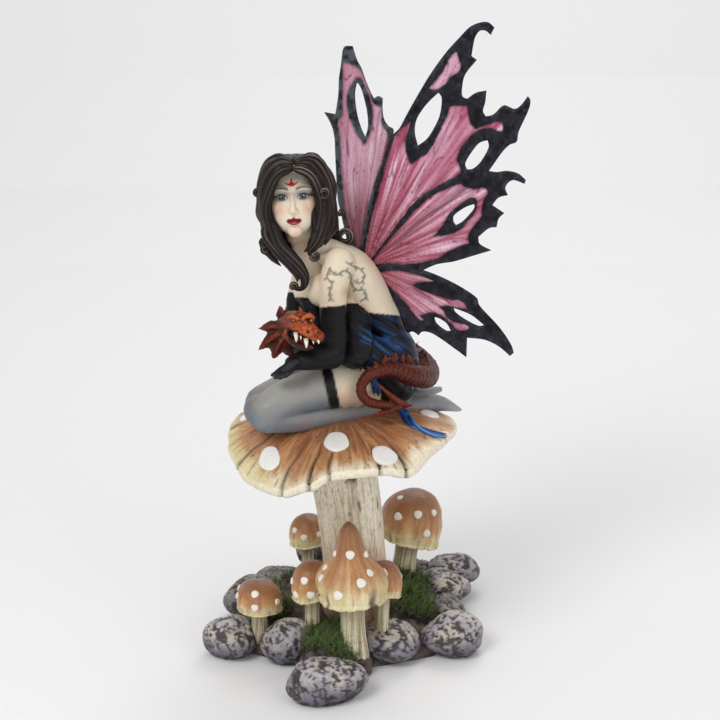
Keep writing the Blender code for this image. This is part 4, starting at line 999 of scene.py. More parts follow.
PANE_LOW_OFF = [(433, 236.3), (441.8, 226), (450.8, 212), (461, 203), (470, 197.4), (475.6, 197.4), (477.6, 203), (475.6, 212), (468.6, 221),
                (462, 228.7), (452, 233.8), (441.8, 235.7)]
PANE_HIND = [(376, 272), (398, 271), (411, 273), (424, 276.5), (434, 281), (428, 281.5), (419, 282), (413, 284.8), (420, 290), (430, 293),
             (440, 296.5), (450, 299.5), (458, 300), (464, 303.5), (466.5, 308.5), (456, 307), (446, 305), (439.5, 307), (443.8, 311), (446, 316),
             (452, 321), (460, 323.4), (470, 325.6), (467.3, 329.4), (457, 328.8), (451, 322.5), (444, 316.5), (437, 312.5), (431.6, 312),
             (425.3, 313), (420, 315.4), (424, 320), (420, 319.5), (413.8, 312.9), (403.6, 300), (392, 288.6), (383, 279)]
PANE_FAR = [(345.5, 62.5), (353, 65), (361, 70.6), (366, 82), (369, 89), (371.5, 95), (374.4, 104), (381.8, 107), (383, 124.4), (388, 132.5),
            (388, 144.6), (383.8, 162), (380, 171), (372, 195), (366, 221), (362, 246.5), (358, 246), (349.7, 226.7), (346, 211.4), (344, 191),
            (342.5, 170.6), (341, 140), (339.4, 123), (343.5, 115), (343.5, 104), (344, 85), (344, 68)]
PANE_FAR_OFF = [(357.6, 77.3), (350, 89.4), (347.5, 104), (351.5, 120.4), (358.3, 135), (365.3, 144.6), (370.4, 135), (373.7, 117.7),
                (372.4, 103), (367.7, 89.4), (362.3, 78.6)]
HIND_U, HIND_V = np.array([0.40, 0.90, -0.17]), np.array([-0.02, 0.19, 0.98])
HIND_U, HIND_V = HIND_U / np.linalg.norm(HIND_U), HIND_V / np.linalg.norm(HIND_V)


def hind_place(u, v):
    s, t = (u - 372) * UNIT * 0.86, (268 - v) * UNIT * 0.86
    return RIGHT_ROOT + HIND_U * (s - 0.001) + HIND_V * (t + 0.001)


def rounded(loop, step):
    """Outline with curves between its sharp corners."""
    p = np.array(loop, float)
    n = len(p)
    a, b = p - np.roll(p, 1, 0), np.roll(p, -1, 0) - p
    cosine = (a * b).sum(1) / (np.linalg.norm(a, axis=1) * np.linalg.norm(b, axis=1))
    corners = [i for i in range(n) if cosine[i] < 0.45]
    if len(corners) < 2:
        length = np.linalg.norm(np.roll(p, -1, 0) - p, axis=1).sum()
        return spline(p, max(12, int(length / step)), closed=True)
    out = []
    for i, j in zip(corners, corners[1:] + [corners[0] + n]):
        run = p[np.arange(i, j + 1) % n]
        length = np.linalg.norm(np.diff(run, axis=0), axis=1).sum()
        k = max(2, int(length / step) + 1)
        out.append(spline(run, k)[:-1] if len(run) > 2 else run[0] + (run[1] - run[0]) * np.linspace(0, 1, k, endpoint=False)[:, None])
    return np.vstack(out)


def inside(p, loops):
    res = np.zeros(len(p), bool)
    for loop in loops:
        a, b = loop, np.roll(loop, -1, 0)
        for s in range(0, len(p), 4000):
            q = p[s:s + 4000]
            y, x = q[:, 1][:, None], q[:, 0][:, None]
            c = (a[:, 1] > y) != (b[:, 1] > y)
            with np.errstate(divide="ignore", invalid="ignore"):
                cut = a[:, 0] + (y - a[:, 1]) * (b[:, 0] - a[:, 0]) / (b[:, 1] - a[:, 1])
            res[s:s + 4000] ^= (np.count_nonzero(c & (x < cut), axis=1) % 2).astype(bool)
    return res


def line_distance(p, line, closed=False):
    a = np.asarray(line, float)
    b = np.roll(a, -1, 0) if closed else a[1:]
    a = a if closed else a[:-1]
    best, along = np.full(len(p), 1e9), np.zeros(len(p))
    for i in range(len(a)):
        ab = b[i] - a[i]
        s = np.clip(((p - a[i]) @ ab) / (ab @ ab + 1e-12), 0, 1)
        d = np.hypot(p[:, 0] - a[i, 0] - s * ab[0], p[:, 1] - a[i, 1] - s * ab[1])
        m = d < best
        best[m] = d[m]
        along[m] = (i + s[m]) / len(a)
    return best, along


def pane_distance(q, panes):
    """Signed distance to the coloured panes, above zero inside one, and the paleness of the nearest."""
    sd, pale = np.full(len(q), -1e9), np.zeros(len(q))
    for loop, off, tone in panes:
        loop = rounded(loop, 0.8)
        d = line_distance(q, loop, True)[0]
        d = np.where(inside(q, [loop]), d, -d)
        if off is not None:
            off = rounded(off, 0.8)
            e = line_distance(q, off, True)[0]
            d = np.minimum(d, np.where(inside(q, [off]), -e, e))
        m = d > sd
        sd[m], pale[m] = d[m], tone
    return sd, pale


def wing_piece(heap, loops, veins, place, normal, root, panes, border_tone, pale, seed, spacing=1.0, ovals=()):
    loops = [rounded(l, spacing * 0.9) for l in loops]
    lo, hi = loops[0].min(0), loops[0].max(0)
    gx, gy = np.meshgrid(np.arange(lo[0], hi[0], spacing), np.arange(lo[1], hi[1], spacing * 0.866))
    gx[1::2] += spacing / 2
    grid = np.stack([gx.ravel(), gy.ravel()], 1)
    grid = grid[inside(grid, loops)]
    d = np.full(len(grid), 1e9)
    for l in loops:
        d = np.minimum(d, line_distance(grid, l, True)[0])
    grid = grid[d > spacing * 0.55]
    pts = np.vstack(loops + [grid])
    edge, k = [], 0
    for l in loops:
        edge += [(k + i, k + (i + 1) % len(l)) for i in range(len(l))]
        k += len(l)
    out_v, _, out_f, orig, _, _ = delaunay_2d_cdt([Vector(p) for p in pts], edge, [], 0, 1e-5)
    q = np.array([[v[0], v[1]] for v in out_v])
    tri = np.array([f for f in out_f if len(f) == 3])
    tri = tri[inside(q[tri].mean(1), loops)]
    # distances on the flat pattern
    rimd = np.full(len(q), 1e9)
    for l in loops:
        rimd = np.minimum(rimd, line_distance(q, l, True)[0])
    q3 = np.column_stack([q, np.full(len(q), seed)])
    sd, tone_at = pane_distance(q, panes)
    sd = sd + 0.45 * wave(q3, 7, 3) + 0.30 * wave(q3, 2.6, 4)
    dark = smooth(sd, 0.45, -0.45)
    ridge = smooth(sd, 0.9, -1.6) * (0.65 + 0.35 * smooth(rimd, 6.0, 1.5))
    vein_line = np.zeros(len(q))
    for line, w0, w1, strength in veins:
        curve = spline(line, 60)
        dd, t_ = line_distance(q, curve)
        ww = (w0 + (w1 - w0) * t_) * (1 + 0.15 * wave(q3, 9, 5))
        ridge = np.maximum(ridge, np.sqrt(np.clip(1 - (dd / (ww * 0.8 + 0.3)) ** 2, 0, 1)) * strength)
        if strength < 1:
            vein_line = np.maximum(vein_line, smooth(dd - ww * 0.30, 0.7, -0.2) * strength)
    for (ox, oy, ra, rb, turn) in ovals:
        c, s_ = math.cos(turn), math.sin(turn)
        ex, ey = (q[:, 0] - ox) * c + (q[:, 1] - oy) * s_, -(q[:, 0] - ox) * s_ + (q[:, 1] - oy) * c
        o = np.hypot(ex / ra, ey / rb)
        dark = np.maximum(dark, smooth(np.abs(o - 1.15), 0.30, 0.10))
        ridge = np.maximum(ridge, 0.7 * smooth(np.abs(o - 1.15), 0.32, 0.1))
    dx, dy = q[:, 0] - root[0], q[:, 1] - root[1]
    ang, far = np.arctan2(dy, dx), np.hypot(dx, dy)
    fan = np.stack([ang * 30, far / 55, np.full(len(q), seed)], 1)
    fan2 = np.stack([ang * 75, far / 30, np.full(len(q), seed + 9)], 1)
    streak = 0.6 * wave(fan, 1.0, 21) + 0.4 * wave(fan2, 1.0, 22)
    line_cut = smooth(np.abs(wave(fan, 0.8, 23)), 0.10, 0.0) * (1 - dark)
    half = 0.62 + 0.62 * ridge + 0.10 * streak * (1 - dark) - 0.16 * line_cut + 0.10 * wave(q3, 5, 6) * dark
    half *= np.sqrt(np.clip(rimd / 1.9, 0.0, 1)) * 0.85 + 0.15
    half = np.clip(half, 0.12, 1.42) / 1000
    base = np.array([place(a, b) for a, b in q])
    n = np.asarray(normal, float)
    front, rear = base + n * half[:, None], base - n * half[:, None]
    near = smooth(far, 100, 16)
    tone = smooth(streak, -0.5, 0.5)
    pink = blend(blend(rgb(166, 80, 104), rgb(208, 152, 174), tone), rgb(234, 208, 219), smooth(streak + 0.25 * wave(q3, 18, 8), 0.22, 0.70) * 0.8)
    pink = blend(pink, rgb(216, 176, 192), np.clip(pale + tone_at, 0, 0.8))
    pink = blend(pink, blend(rgb(128, 46, 54), rgb(180, 98, 112), tone), near * 0.75)
    smoke, _ = line_distance(q, spline([(395, 245), (430, 215), (452, 196), (470, 186)], 40))
    pink = blend(pink, rgb(112, 90, 92), smooth(smoke + 1.5 * wave(q3, 8, 41), 5.5, 0.5) * 0.45 * smooth(q[:, 1], 170, 184))
    pink = blend(pink, rgb(112, 44, 64), np.clip(line_cut * 0.75 + vein_line * 0.75 + 0.45 * smooth(sd, 3.2, 0), 0, 0.85))
    brush = smooth(ridge + 0.5 * wave(q3, 3.2, 31) + 0.25 * wave(q3, 1.4, 32), 0.85, 1.45)
    black = blend(blend(rgb(17, 15, 19), rgb(36, 33, 40), smooth(wave(q3, 6, 33), -0.4, 0.5)), rgb(70, 74, 88), brush * 0.45)
    black = blend(black, np.array(border_tone[0]), border_tone[1] * smooth(wave(q3, 5, 35) + 0.4 * wave(q3, 2, 36), -0.5, 0.4))
    c = blend(pink, black, dark)
    m = len(q)
    bound = {}
    for t in tri:
        for a, b in ((t[0], t[1]), (t[1], t[2]), (t[2], t[0])):
            bound[(a, b)] = bound.get((a, b), 0) + 1
    walls = [(a, b) for (a, b) in bound if (b, a) not in bound]
    faces = tri.tolist() + (tri[:, ::-1] + m).tolist() + [[b, a, a + m, b + m] for a, b in walls]
    v = np.vstack([front, rear])
    # outward faces
    a, b, cc = v[tri[0][0]], v[tri[0][1]], v[tri[0][2]]
    if np.dot(np.cross(b - a, cc - a), n) < 0:
        faces = [f[::-1] for f in faces]
    used = sorted({i for f in faces for i in f})
    remap = -np.ones(len(v), int)
    remap[used] = np.arange(len(used))
    heap.add(v[used], [[remap[i] for i in f] for f in faces], np.vstack([c, c])[used])


def make_wings():
    heap = Heap()
    none, cold = (rgb(60, 64, 78), 0.15), (rgb(86, 98, 104), 0.62)
    wing_piece(heap, [LEFT_WING] + LEFT_HOLES, LEFT_VEINS, lambda u, v: on_plane(u, v, *NEAR_PLANE), NEAR_PLANE[1], (366, 264),
               [(PANE_MAIN, None, 0.0), (PANE_TIP, None, 0.6), (PANE_LOW, PANE_LOW_OFF, 0.08), (PANE_HIND, None, 0.25)], none, 0.0, 1.5, 1.15,
               ovals=[(447, 292, 7, 2.6, 0.5)])
    settle(heap.piece("wing_left_paint"), "wing", "wings", "wing_left")
    heap = Heap()
    wing_piece(heap, [RIGHT_FORE, RIGHT_HOLE], RIGHT_VEINS, lambda u, v: on_plane(u, v, *FAR_PLANE), FAR_PLANE[1],
               (359, 258), [(PANE_FAR, PANE_FAR_OFF, 0.0)], cold, 0.40, 7.5, 1.15)
    nrm = np.cross(HIND_U, HIND_V)
    nrm /= np.linalg.norm(nrm)
    wing_piece(heap, [HIND] + LEFT_HOLES[3:], LEFT_VEINS[5:8], hind_place, nrm, (372, 268), [(PANE_HIND, None, 0.0)], none, 0.3, 3.5, 1.35,
               ovals=[(447, 292, 7, 2.6, 0.5)])
    settle(heap.piece("wing_right_paint"), "wing", "wings", "wing_right")


# ================================================================ fairy: body
HEAD = at(294, 200, -12)
TORSO = [(388, 374, 18, 19, 23), (386, 352, 16, 18, 23), (379, 326, 11, 14.5, 18.5), (362, 294, 4, 15.5, 20),
         (347, 270, -1, 15, 22), (333, 256, -5, 10, 19), (322, 249, -8, 8, 9)]
FRONT = [[(346, 308, -10, 9, 11), (352, 330, -14, 11, 14), (354, 352, -16, 10, 14)], [(312, 306, -10, 7, 8), (316, 326, -13, 8, 9), (322, 348, -19, 8, 10)]]
NECK = [(323, 250, -8, 8, 8), (310, 238, -11, 7.2, 7.2), (302, 226, -12, 7.5, 7.5)]
ARM = [(339, 263, -21, 9.5, 9.5), (334, 285, -26, 8.8, 8.8), (333, 312, -29, 7.8, 7.8), (334, 345, -31, 7.4, 7.4), (332, 356, -33, 7.6, 7.6)]
FOREARM = [(333, 354, -33, 7.6, 7.6), (316, 358, -38, 7.0, 7.0), (299, 361, -40, 5.2, 5.2), (291, 364, -40, 4.4, 3.4)]
FAR_ARM = [(312, 262, 14, 8.5, 8.5), (303, 280, 7, 7.4, 7.4), (298, 300, 2, 6.8, 6.8), (297, 326, -3, 6.6, 6.6),
           (302, 345, -14, 6.2, 6.2), (312, 352, -24, 5.5, 5.5)]
THIGH = [(390, 376, 6, 17, 17), (352, 381, -9, 14.6, 14.6), (314, 389, -20, 12.8, 12.8), (286, 399, -28, 11.8, 11.8), (268, 411, -32, 11.4, 11.4)]
SHIN = [(268, 415, -32, 11.2, 11.2), (300, 417, -24, 9.2, 9.2), (340, 412, -11, 8.4, 8.4), (378, 409, 4, 7.2, 7.2),
        (406, 407, 14, 5.8, 5.8), (436, 403, 24, 5.6, 5.2), (458, 409, 31, 1.8, 2.8)]
FAR_THIGH = [(382, 366, 26, 16, 16), (332, 375, 8, 14, 14), (296, 387, -4, 12.2, 12.2), (263, 403, -13, 11.2, 11.2)]
FAR_SHIN = [(264, 408, -12, 10.5, 10.5), (310, 406, 2, 9, 9), (360, 402, 18, 8, 8), (404, 398, 30, 5.8, 5.8), (440, 389, 39, 1.8, 2.8)]
# the second colour is the painted shade used in the skin's creases
SKIN, SKIN_SHADE = rgb(228, 214, 190), rgb(196, 138, 108)


def nearness(p, pts):
    path, ra, rw = stations(pts, 26)
    d, s = near_line(p, path)
    return d / np.interp(s, np.linspace(0, 1, 26), (ra + rw) / 2), s


def make_upper():
    bm = bmesh.new()
    limb(bm, TORSO, NEAR, 26, 26)
    limb(bm, NECK, NEAR, 10, 18)
    limb(bm, [(300, 234, -8, 7, 7), (306, 250, -8, 8, 8), (314, 268, -4, 8, 9)], NEAR, 10, 16)
    for pts in (ARM, FOREARM, FAR_ARM, *FRONT):
        limb(bm, pts, NEAR, 20, 20)
    for u, v, d in ((324, 290, -19), (310, 289, -5)):
        ball(bm, at(u, v, d), (0.0105, 0.0105, 0.0105))
    ball(bm, at(339, 264, -21), (0.0098, 0.0098, 0.0094))
    limb(bm, [(322, 256, -18, 2.2, 2.2), (334, 258, -21, 2.2, 2.2)], NEAR, 6, 10)
    limb(bm, [(366, 272, -4, 6, 9), (372, 290, 2, 6, 9), (380, 308, 8, 5, 8)], NEAR, 8, 14)
    for tip, knuckle, depth in [((272.5, 375), (283, 368.5), -40), ((275.5, 377.5), (285, 370), -42.5), ((280, 378), (288, 371), -44.5), ((286, 376), (291, 370), -46)]:
        limb(bm, [(293, 364, -40, 2.2, 2.2), (*knuckle, depth, 1.9, 1.9), (*tip, depth + 1, 1.1, 1.1)], NEAR, 8, 10)
    limb(bm, [(296, 362, -44, 2.2, 2.2), (290, 366, -48, 1.9, 1.9), (284, 370, -48, 1.2, 1.2)], NEAR, 6, 10)
    ob = melt("fairy_body", bm, 0.00090, 2)
    p, n = places(ob), normals(ob)
    u, v = drawn(p)
    groups = [nearness(p, x) for x in (TORSO, NECK, ARM, FOREARM, FAR_ARM, *FRONT)]
    label = np.argmin(np.stack([g[0] for g in groups]), axis=0)
    bodice = smooth(v - np.interp(u, [285, 305, 320, 345, 375, 404], [299, 299, 302, 307, 313, 316]), -0.5, 0.5) * np.isin(label, (0, 1, 5, 6))
    near_glove = smooth(v + 0.10 * (u - 333) - 306, -0.5, 0.5) * (label == 2)
    near_glove = np.maximum(near_glove, (label == 3) * 1.0)
    far_glove = smooth(v - 292, -0.5, 0.5) * (label == 4)
    chest = (np.hypot(u - 324, v - 290) < 17) | (np.hypot(u - 309, v - 289) < 17)
    cloth = np.maximum(np.maximum(np.maximum(bodice, near_glove), far_glove), smooth(v, 302.5, 304) * (label > 4))
    bust = smooth(v - np.interp(u, [300, 312, 318, 330, 345], [297, 298, 302, 300, 305]), -0.5, 0.5) * chest * (label != 2) * (label != 4)
    cloth = np.maximum(cloth, bust)
    h = cloth * 0.00035
    fold_axis = np.stack([u / 26, v / 5.5, p[:, 1] * 60], 1)
    sweep = np.stack([(u + 1.5 * v) / 60, (v - 0.62 * u) / 5.0, p[:, 1] * 40], 1)
    folds = fbm(sweep, 1.0, 3, 3) * bodice * smooth(v, 312, 325)
    wrinkle = wave(fold_axis, 1.0, 5) * np.maximum(near_glove, far_glove)
    h += folds * 0.00075 + wrinkle * 0.00028
    rib = np.maximum(near_glove, bodice) * np.exp(-((v - np.interp(u, [285, 320, 345, 375, 404], [301, 304, 309, 315, 318])) / 1.1) ** 2)
    h += rib * 0.0003
    put(ob, p + n * h[:, None])
    r = relief(ob, 5)
    crease = smooth(-r, 0.4, 2.2)
    # painted shade in the creases of the skin
    skin = blend(SKIN, SKIN_SHADE, np.clip(crease * 0.75, 0, 0.8))
    skin = blend(skin, rgb(208, 160, 128), smooth(fbm(p, 0.02, 2, 5), 0.2, 0.7) * 0.25)
    # painted shadows: warm dark patches under the chin, at the armpit, beside the upper arm and under the hair on the
    # chest
    for cu, cv, rad, k in [(306, 248, 9, 0.55), (347, 292, 5, 0.5), (333, 300, 14, 0.22), (318, 275, 6, 0.25)]:
        skin = blend(skin, rgb(186, 128, 96), np.exp(-((u - cu) ** 2 + (v - cv) ** 2) / rad ** 2) * k)
    # a plain vine scroll on the shoulder blade and the upper arm
    facing = (n @ np.array([0, -CE, SE])) > 0.12
    vine = np.zeros(len(p))
    q = np.stack([u, v], 1)
    main = spline([(329, 269), (336, 275), (344, 271), (351, 275), (351, 284), (357, 290), (364, 290), (366, 297), (361, 301)], 60)
    arm_vine = spline([(330, 268), (327, 277), (332, 285), (329, 294), (333, 301)], 40)
    third = spline([(346, 262), (353, 266), (360, 269), (365, 276), (360, 283), (354, 281)], 40)
    for curve, w in ((main, 0.95), (arm_vine, 0.9), (third, 0.8)):
        d, _ = line_distance(q, curve)
        vine = np.maximum(vine, smooth(d, w + 0.35, w - 0.35))
        for k in range(4, len(curve) - 3, 6):
            t = curve[k + 1] - curve[k - 1]
            t /= np.hypot(*t)
            side = np.array([-t[1], t[0]]) * (1 if (k // 6) % 2 else -1)
            c = curve[k] + (side * 0.8 + t * 0.5) * 2.4
            ax = side * 0.8 + t * 0.6
            ax /= np.hypot(*ax)
            a, b = (q - c) @ ax, (q - c) @ np.array([-ax[1], ax[0]])
            vine = np.maximum(vine, smooth(np.hypot(a / 2.4, b / 1.15), 1.1, 0.75) * 0.85)
    vine = vine * facing * (1 - cloth) * np.isin(label, (0, 2))
    skin = blend(skin, rgb(74, 76, 76), vine * 0.78)
    streaks = fbm(np.stack([(u + 1.2 * v) / 46, (v - 0.55 * u) / 3.2, p[:, 1] * 30], 1), 1.0, 3, 9)
    blue = smooth(streaks, 0.0, 0.42) * smooth(u - 0.35 * (v - 320), 350, 364) * smooth(v, 311, 318) * bodice
    # black cloth lighter on its ridges: painted highlight, with the figure's own dry-brush
    black = blend(rgb(13, 12, 16), rgb(58, 58, 66), smooth(r, 0.7, 2.4) * 0.6)
    black = blend(black, blend(rgb(28, 52, 92), rgb(40, 104, 172), smooth(v, 325, 345)), blue * 0.9)
    black = blend(black, rgb(104, 152, 196), blue * smooth(streaks, 0.38, 0.7) * smooth(v, 318, 340) * 0.5)
    tint(ob, blend(skin, black, cloth))
    settle(ob, "skin", "figure", "fairy_figure")
    return ob


def make_lower():
    bm = bmesh.new()
    limb(bm, TORSO[:3], NEAR, 14, 26)
    for pts in (THIGH, SHIN, FAR_THIGH, FAR_SHIN):
        limb(bm, pts, NEAR, 26, 22)
    ball(bm, at(384, 368, 14), (0.0190, 0.0225, 0.0200))
    ball(bm, at(259, 410, -31), (0.0095, 0.0100, 0.0098))
    limb(bm, [(368, 350, -14, 8, 11), (384, 370, -9, 11, 12), (392, 391, 1, 8, 10)], FORE, 10, 18)
    limb(bm, [(426, 404, 20, 4.8, 5.2), (440, 404, 25, 4.2, 4.6), (460, 409.5, 31, 1.2, 2.2)], NEAR, 10, 14)
    ob = melt("fairy_legs", bm, 0.00115, 2)
    p, n = places(ob), normals(ob)
    u, v = drawn(p)
    hip = smooth(np.minimum(v * 0 + 1, 1) * (u - np.interp(v, [352, 362, 372, 384, 400, 412], [336, 352, 368, 378, 381, 381])), -0.5, 0.8)
    far = nearness(p, FAR_THIGH)[0] < nearness(p, THIGH)[0]
    top = smooth(p[:, 2], 0.188, 0.190)
    hem = np.interp(u, [325, 331, 335, 339, 343, 348, 352, 357, 361, 366, 371, 375, 380], [352, 356, 362, 358, 367, 360, 369, 361, 371, 363, 377, 368, 380])
    dress = np.maximum(hip, smooth(v - hem, 0.6, -0.6) * smooth(u, 325, 330))
    dress = np.maximum(dress, smooth(u, 330, 334) * smooth(p[:, 1], 0.004, 0.008) * smooth(p[:, 2], 0.176, 0.180))
    nlow, nthigh = nearness(p, SHIN), nearness(p, THIGH)
    lower = nlow[0] < nthigh[0] - 0.05
    g0 = 321 + (v - 368) * 0.22
    on_thigh = (~lower) & (v < 409)
    garter = smooth(u - g0, -1.1, 0.9) * smooth(u - g0, 12.0, 10.1) * on_thigh
    bare = smooth(u - g0, 10.1, 12.0) * on_thigh * (1 - dress)
    bare *= (v < 407.5)
    dress = dress * (1 - 0.0 * garter) * ((u > 331) | (v < 362))
    nfar, nfar_thigh = nearness(p, FAR_SHIN), nearness(p, FAR_THIGH)
    foot = ((np.minimum(nlow[0], nfar[0]) < np.minimum(nthigh[0], nfar_thigh[0]) - 0.05) & (u > 384) & (v > 386)) | ((u > 412) & (v > 386))
    dress = dress * (~(lower & (u < 384))) * (~foot)
    folds = fbm(np.stack([(u + 0.8 * v) / 30, (v - 0.9 * u) / 4.6, p[:, 1] * 40], 1), 1.0, 3, 13)
    h = garter * 0.0006 + dress * (0.0004 + folds * 0.0009)
    ankle = np.exp(-((u - 408) / 5) ** 2) * lower
    fine = wave(np.stack([u / 1.6, v / 14, p[:, 1] * 80], 1), 1.0, 15) * ankle
    h += fine * 0.0002
    put(ob, p + n * h[:, None])
    r = relief(ob, 6)
    crease = smooth(-r, 0.3, 2.0)
    # painted shade: the stockings darker lower down and bluish where they face down
    mid = blend(rgb(168, 166, 158), rgb(138, 139, 138), smooth(p[:, 2], 0.196, 0.172))
    mid = blend(mid, rgb(92, 112, 136), smooth(-n[:, 2], -0.25, 0.6) * 0.50)
    mid = blend(mid, rgb(150, 124, 122), smooth(fbm(p, 0.014, 2, 33), 0.1, 0.6) * 0.30)
    # painted shade in the creases of the stockings
    mid = blend(mid, rgb(44, 56, 74), np.clip(crease * 0.8, 0, 0.8))
    mid = blend(mid, rgb(66, 78, 98), smooth(u, 262, 246) * 0.45)
    # painted highlight on the ridges of the stockings
    mid = blend(mid, rgb(184, 186, 186), smooth(r, 0.9, 2.4) * 0.25)
    mid = blend(mid, rgb(58, 66, 80), smooth(u, 438, 456) * 0.5)
    sole = smooth(u, 384, 404) * foot
    mid = blend(mid, rgb(138, 142, 148), sole * 0.55)
    # painted highlight on the ridges of the feet
    mid = blend(mid, rgb(196, 198, 198), sole * smooth(r, 0.4, 1.8) * 0.45)
    # painted shade in the gap between the two feet
    between = np.abs(nlow[0] - nfar[0])
    mid = blend(mid, rgb(34, 36, 44), smooth(between, 0.16, 0.03) * smooth(u, 378, 396) * 0.85)
    c = blend(mid, rgb(17, 16, 19), garter)
    # painted shade in the creases of the bare thigh, and a darker band across it
    skin = blend(SKIN, SKIN_SHADE, np.clip(crease * 0.7 + 0.35 * np.exp(-((v - 398) / 8.0) ** 2), 0, 0.7))
    c = blend(c, skin, bare)
    strokes = fbm(np.stack([(u + 0.9 * v) / 40, (v - 0.7 * u) / 4.2, p[:, 1] * 30], 1), 1.0, 3, 17)
    blue = smooth(strokes, 0.0, 0.4) * smooth(u, 358, 374) * smooth(v, 372, 352)
    black = blend(rgb(13, 12, 16), rgb(28, 76, 132), blue * 0.85)
    # painted highlight on the crests of the folds in the blue strokes
    black = blend(black, rgb(116, 160, 196), smooth(folds, 0.35, 0.7) * blue * 0.5)
    c = blend(c, black, dress)
    tint(ob, c)
    settle(ob, "stocking", "figure", "fairy_figure")
    return ob


def blade(heap, pts, wide, tone_a, tone_b, rings=16, sides=14, ridges=2, deep=0.16):
    """A grooved, pointed tongue of cloth or feather. pts rows: (u, v, depth, thick mm, wide mm)."""
    path, ra, rw = stations(pts, rings)
    s = np.linspace(0, 1, rings)
    end = np.sqrt(np.clip(np.minimum(s / 0.06, (1 - s) / 0.22), 0, 1))
    _, w, a = frames(path, wide)
    q = np.arange(sides) * 2 * math.pi / sides
    rows, shade = [], []
    for i in range(rings):
        g = np.cos(q * 2 * ridges)
        k = 1 + deep * g
        e = max(0.04, end[i])
        rows.append(path[i] + np.outer(np.cos(q) * k, a[i]) * ra[i] * e + np.outer(np.sin(q), w[i]) * rw[i] * e)
        base = blend(np.asarray(tone_a), np.asarray(tone_b), s[i])
        # painted light and shade: the grooves get a darker copy of the tone and the ridges a lighter copy
        shade.append(blend(base * 0.45, np.minimum(base * 1.5 + 0.01, 1), smooth(g, -0.8, 0.9)))
    v, f = loft(np.array(rows))
    heap.add(v, f, np.vstack([np.vstack(shade), shade[0].mean(0), shade[-1].mean(0)]))


def make_skirt():
    rng = np.random.default_rng(11)
    heap = Heap()
    ink, blue, pale = rgb(14, 13, 18), rgb(30, 78, 134), rgb(92, 140, 180)
    # feathered skirt behind the tail, falling to the cap
    for k in range(54):
        t = rng.uniform(0, 1)
        u0, v0 = 376 + 28 * t, 356 + 8 * rng.uniform(0, 1)
        lean = -7 + 18 * t + rng.normal(0, 2.5)
        u1, v1 = u0 + lean, min(v0 + rng.uniform(20, 38), 399)
        d0 = -16 + 26 * t
        d1 = d0 - 3 + rng.normal(0, 2)
        z = at(u1, v1, d1)[2]
        if z < 0.166:
            v1 -= (0.166 - z) / UNIT
        tone = blue * 0.8 if rng.uniform() < 0.35 else ink
        blade(heap, [(u0, v0, d0, 1.2, 2.6), ((u0 + u1) / 2, (v0 + v1) / 2, (d0 + d1) / 2 - 2, 1.2, 3.2), (u1, v1, d1, 0.8, 1.6)], FORE, ink, tone)
    # far side of the skirt
    for k in range(26):
        t = k / 25
        a = math.radians(20 + 170 * t)
        c = at(383, 360, 16)
        out = np.array([math.cos(a) * 0.0172, math.sin(a) * 0.0225, 0])
        p0, p1 = c + out * 0.85 + [0, 0, 0.012], c + out * 1.25 + [0, 0, -0.014 - 0.006 * rng.uniform()]
        if p1[2] < 0.170:
            p1[2] = 0.170
        (ua, ub), (va, vb) = drawn(np.array([p0, p1]))
        da, db = (p0[1] + CENTRE[1]) * 1000, (p1[1] + CENTRE[1]) * 1000
        tone = blue if rng.uniform() < 0.5 else ink
        blade(heap, [(ua, va, da, 1.4, 3.2), ((ua + ub) / 2, (va + vb) / 2, (da + db) / 2 + 1.0 * math.sin(a), 1.4, 3.8), (ub, vb, db, 0.9, 2.0)],
              (-math.sin(a), math.cos(a), 0), ink, tone)
    # ribbon trailing over the cap
    bright = rgb(45, 95, 165)

    def laid(u, v, lift, thick, wide):
        q = on_cap(u, v)
        return (u, v - lift / 0.656, (q[1] + CENTRE[1]) * 1000, thick, wide)

    for off, tone in ((0, bright), (2.4, rgb(92, 140, 196)), (-2.2, rgb(26, 58, 110))):
        blade(heap, [(398 + off * 0.3, 399, -2, 1.8, 2.0), laid(403 + off * 0.4, 413, 1.6, 1.5, 2.4), laid(408 + off * 0.4, 421.5, 1.3, 1.4, 2.6),
                     laid(416 + off * 0.3, 428.5 + off * 0.3, 1.2, 1.3, 2.6), laid(431, 434.5 + off * 0.6, 1.1, 1.2, 2.3), laid(447, 437 + off * 0.7, 1.0, 0.8, 1.4)],
              (0.4, -0.5, 0.1), bright * 0.8, tone, 40, 20, 2, 0.10)
    settle(heap.piece("dress_feathers"), "cloth", "figure", "fairy_figure")


# ================================================================ fairy: head and hair
def turn_head():
    return np.array(Matrix.Rotation(math.radians(-4), 3, "Y") @ Matrix.Rotation(math.radians(-11), 3, "X"))


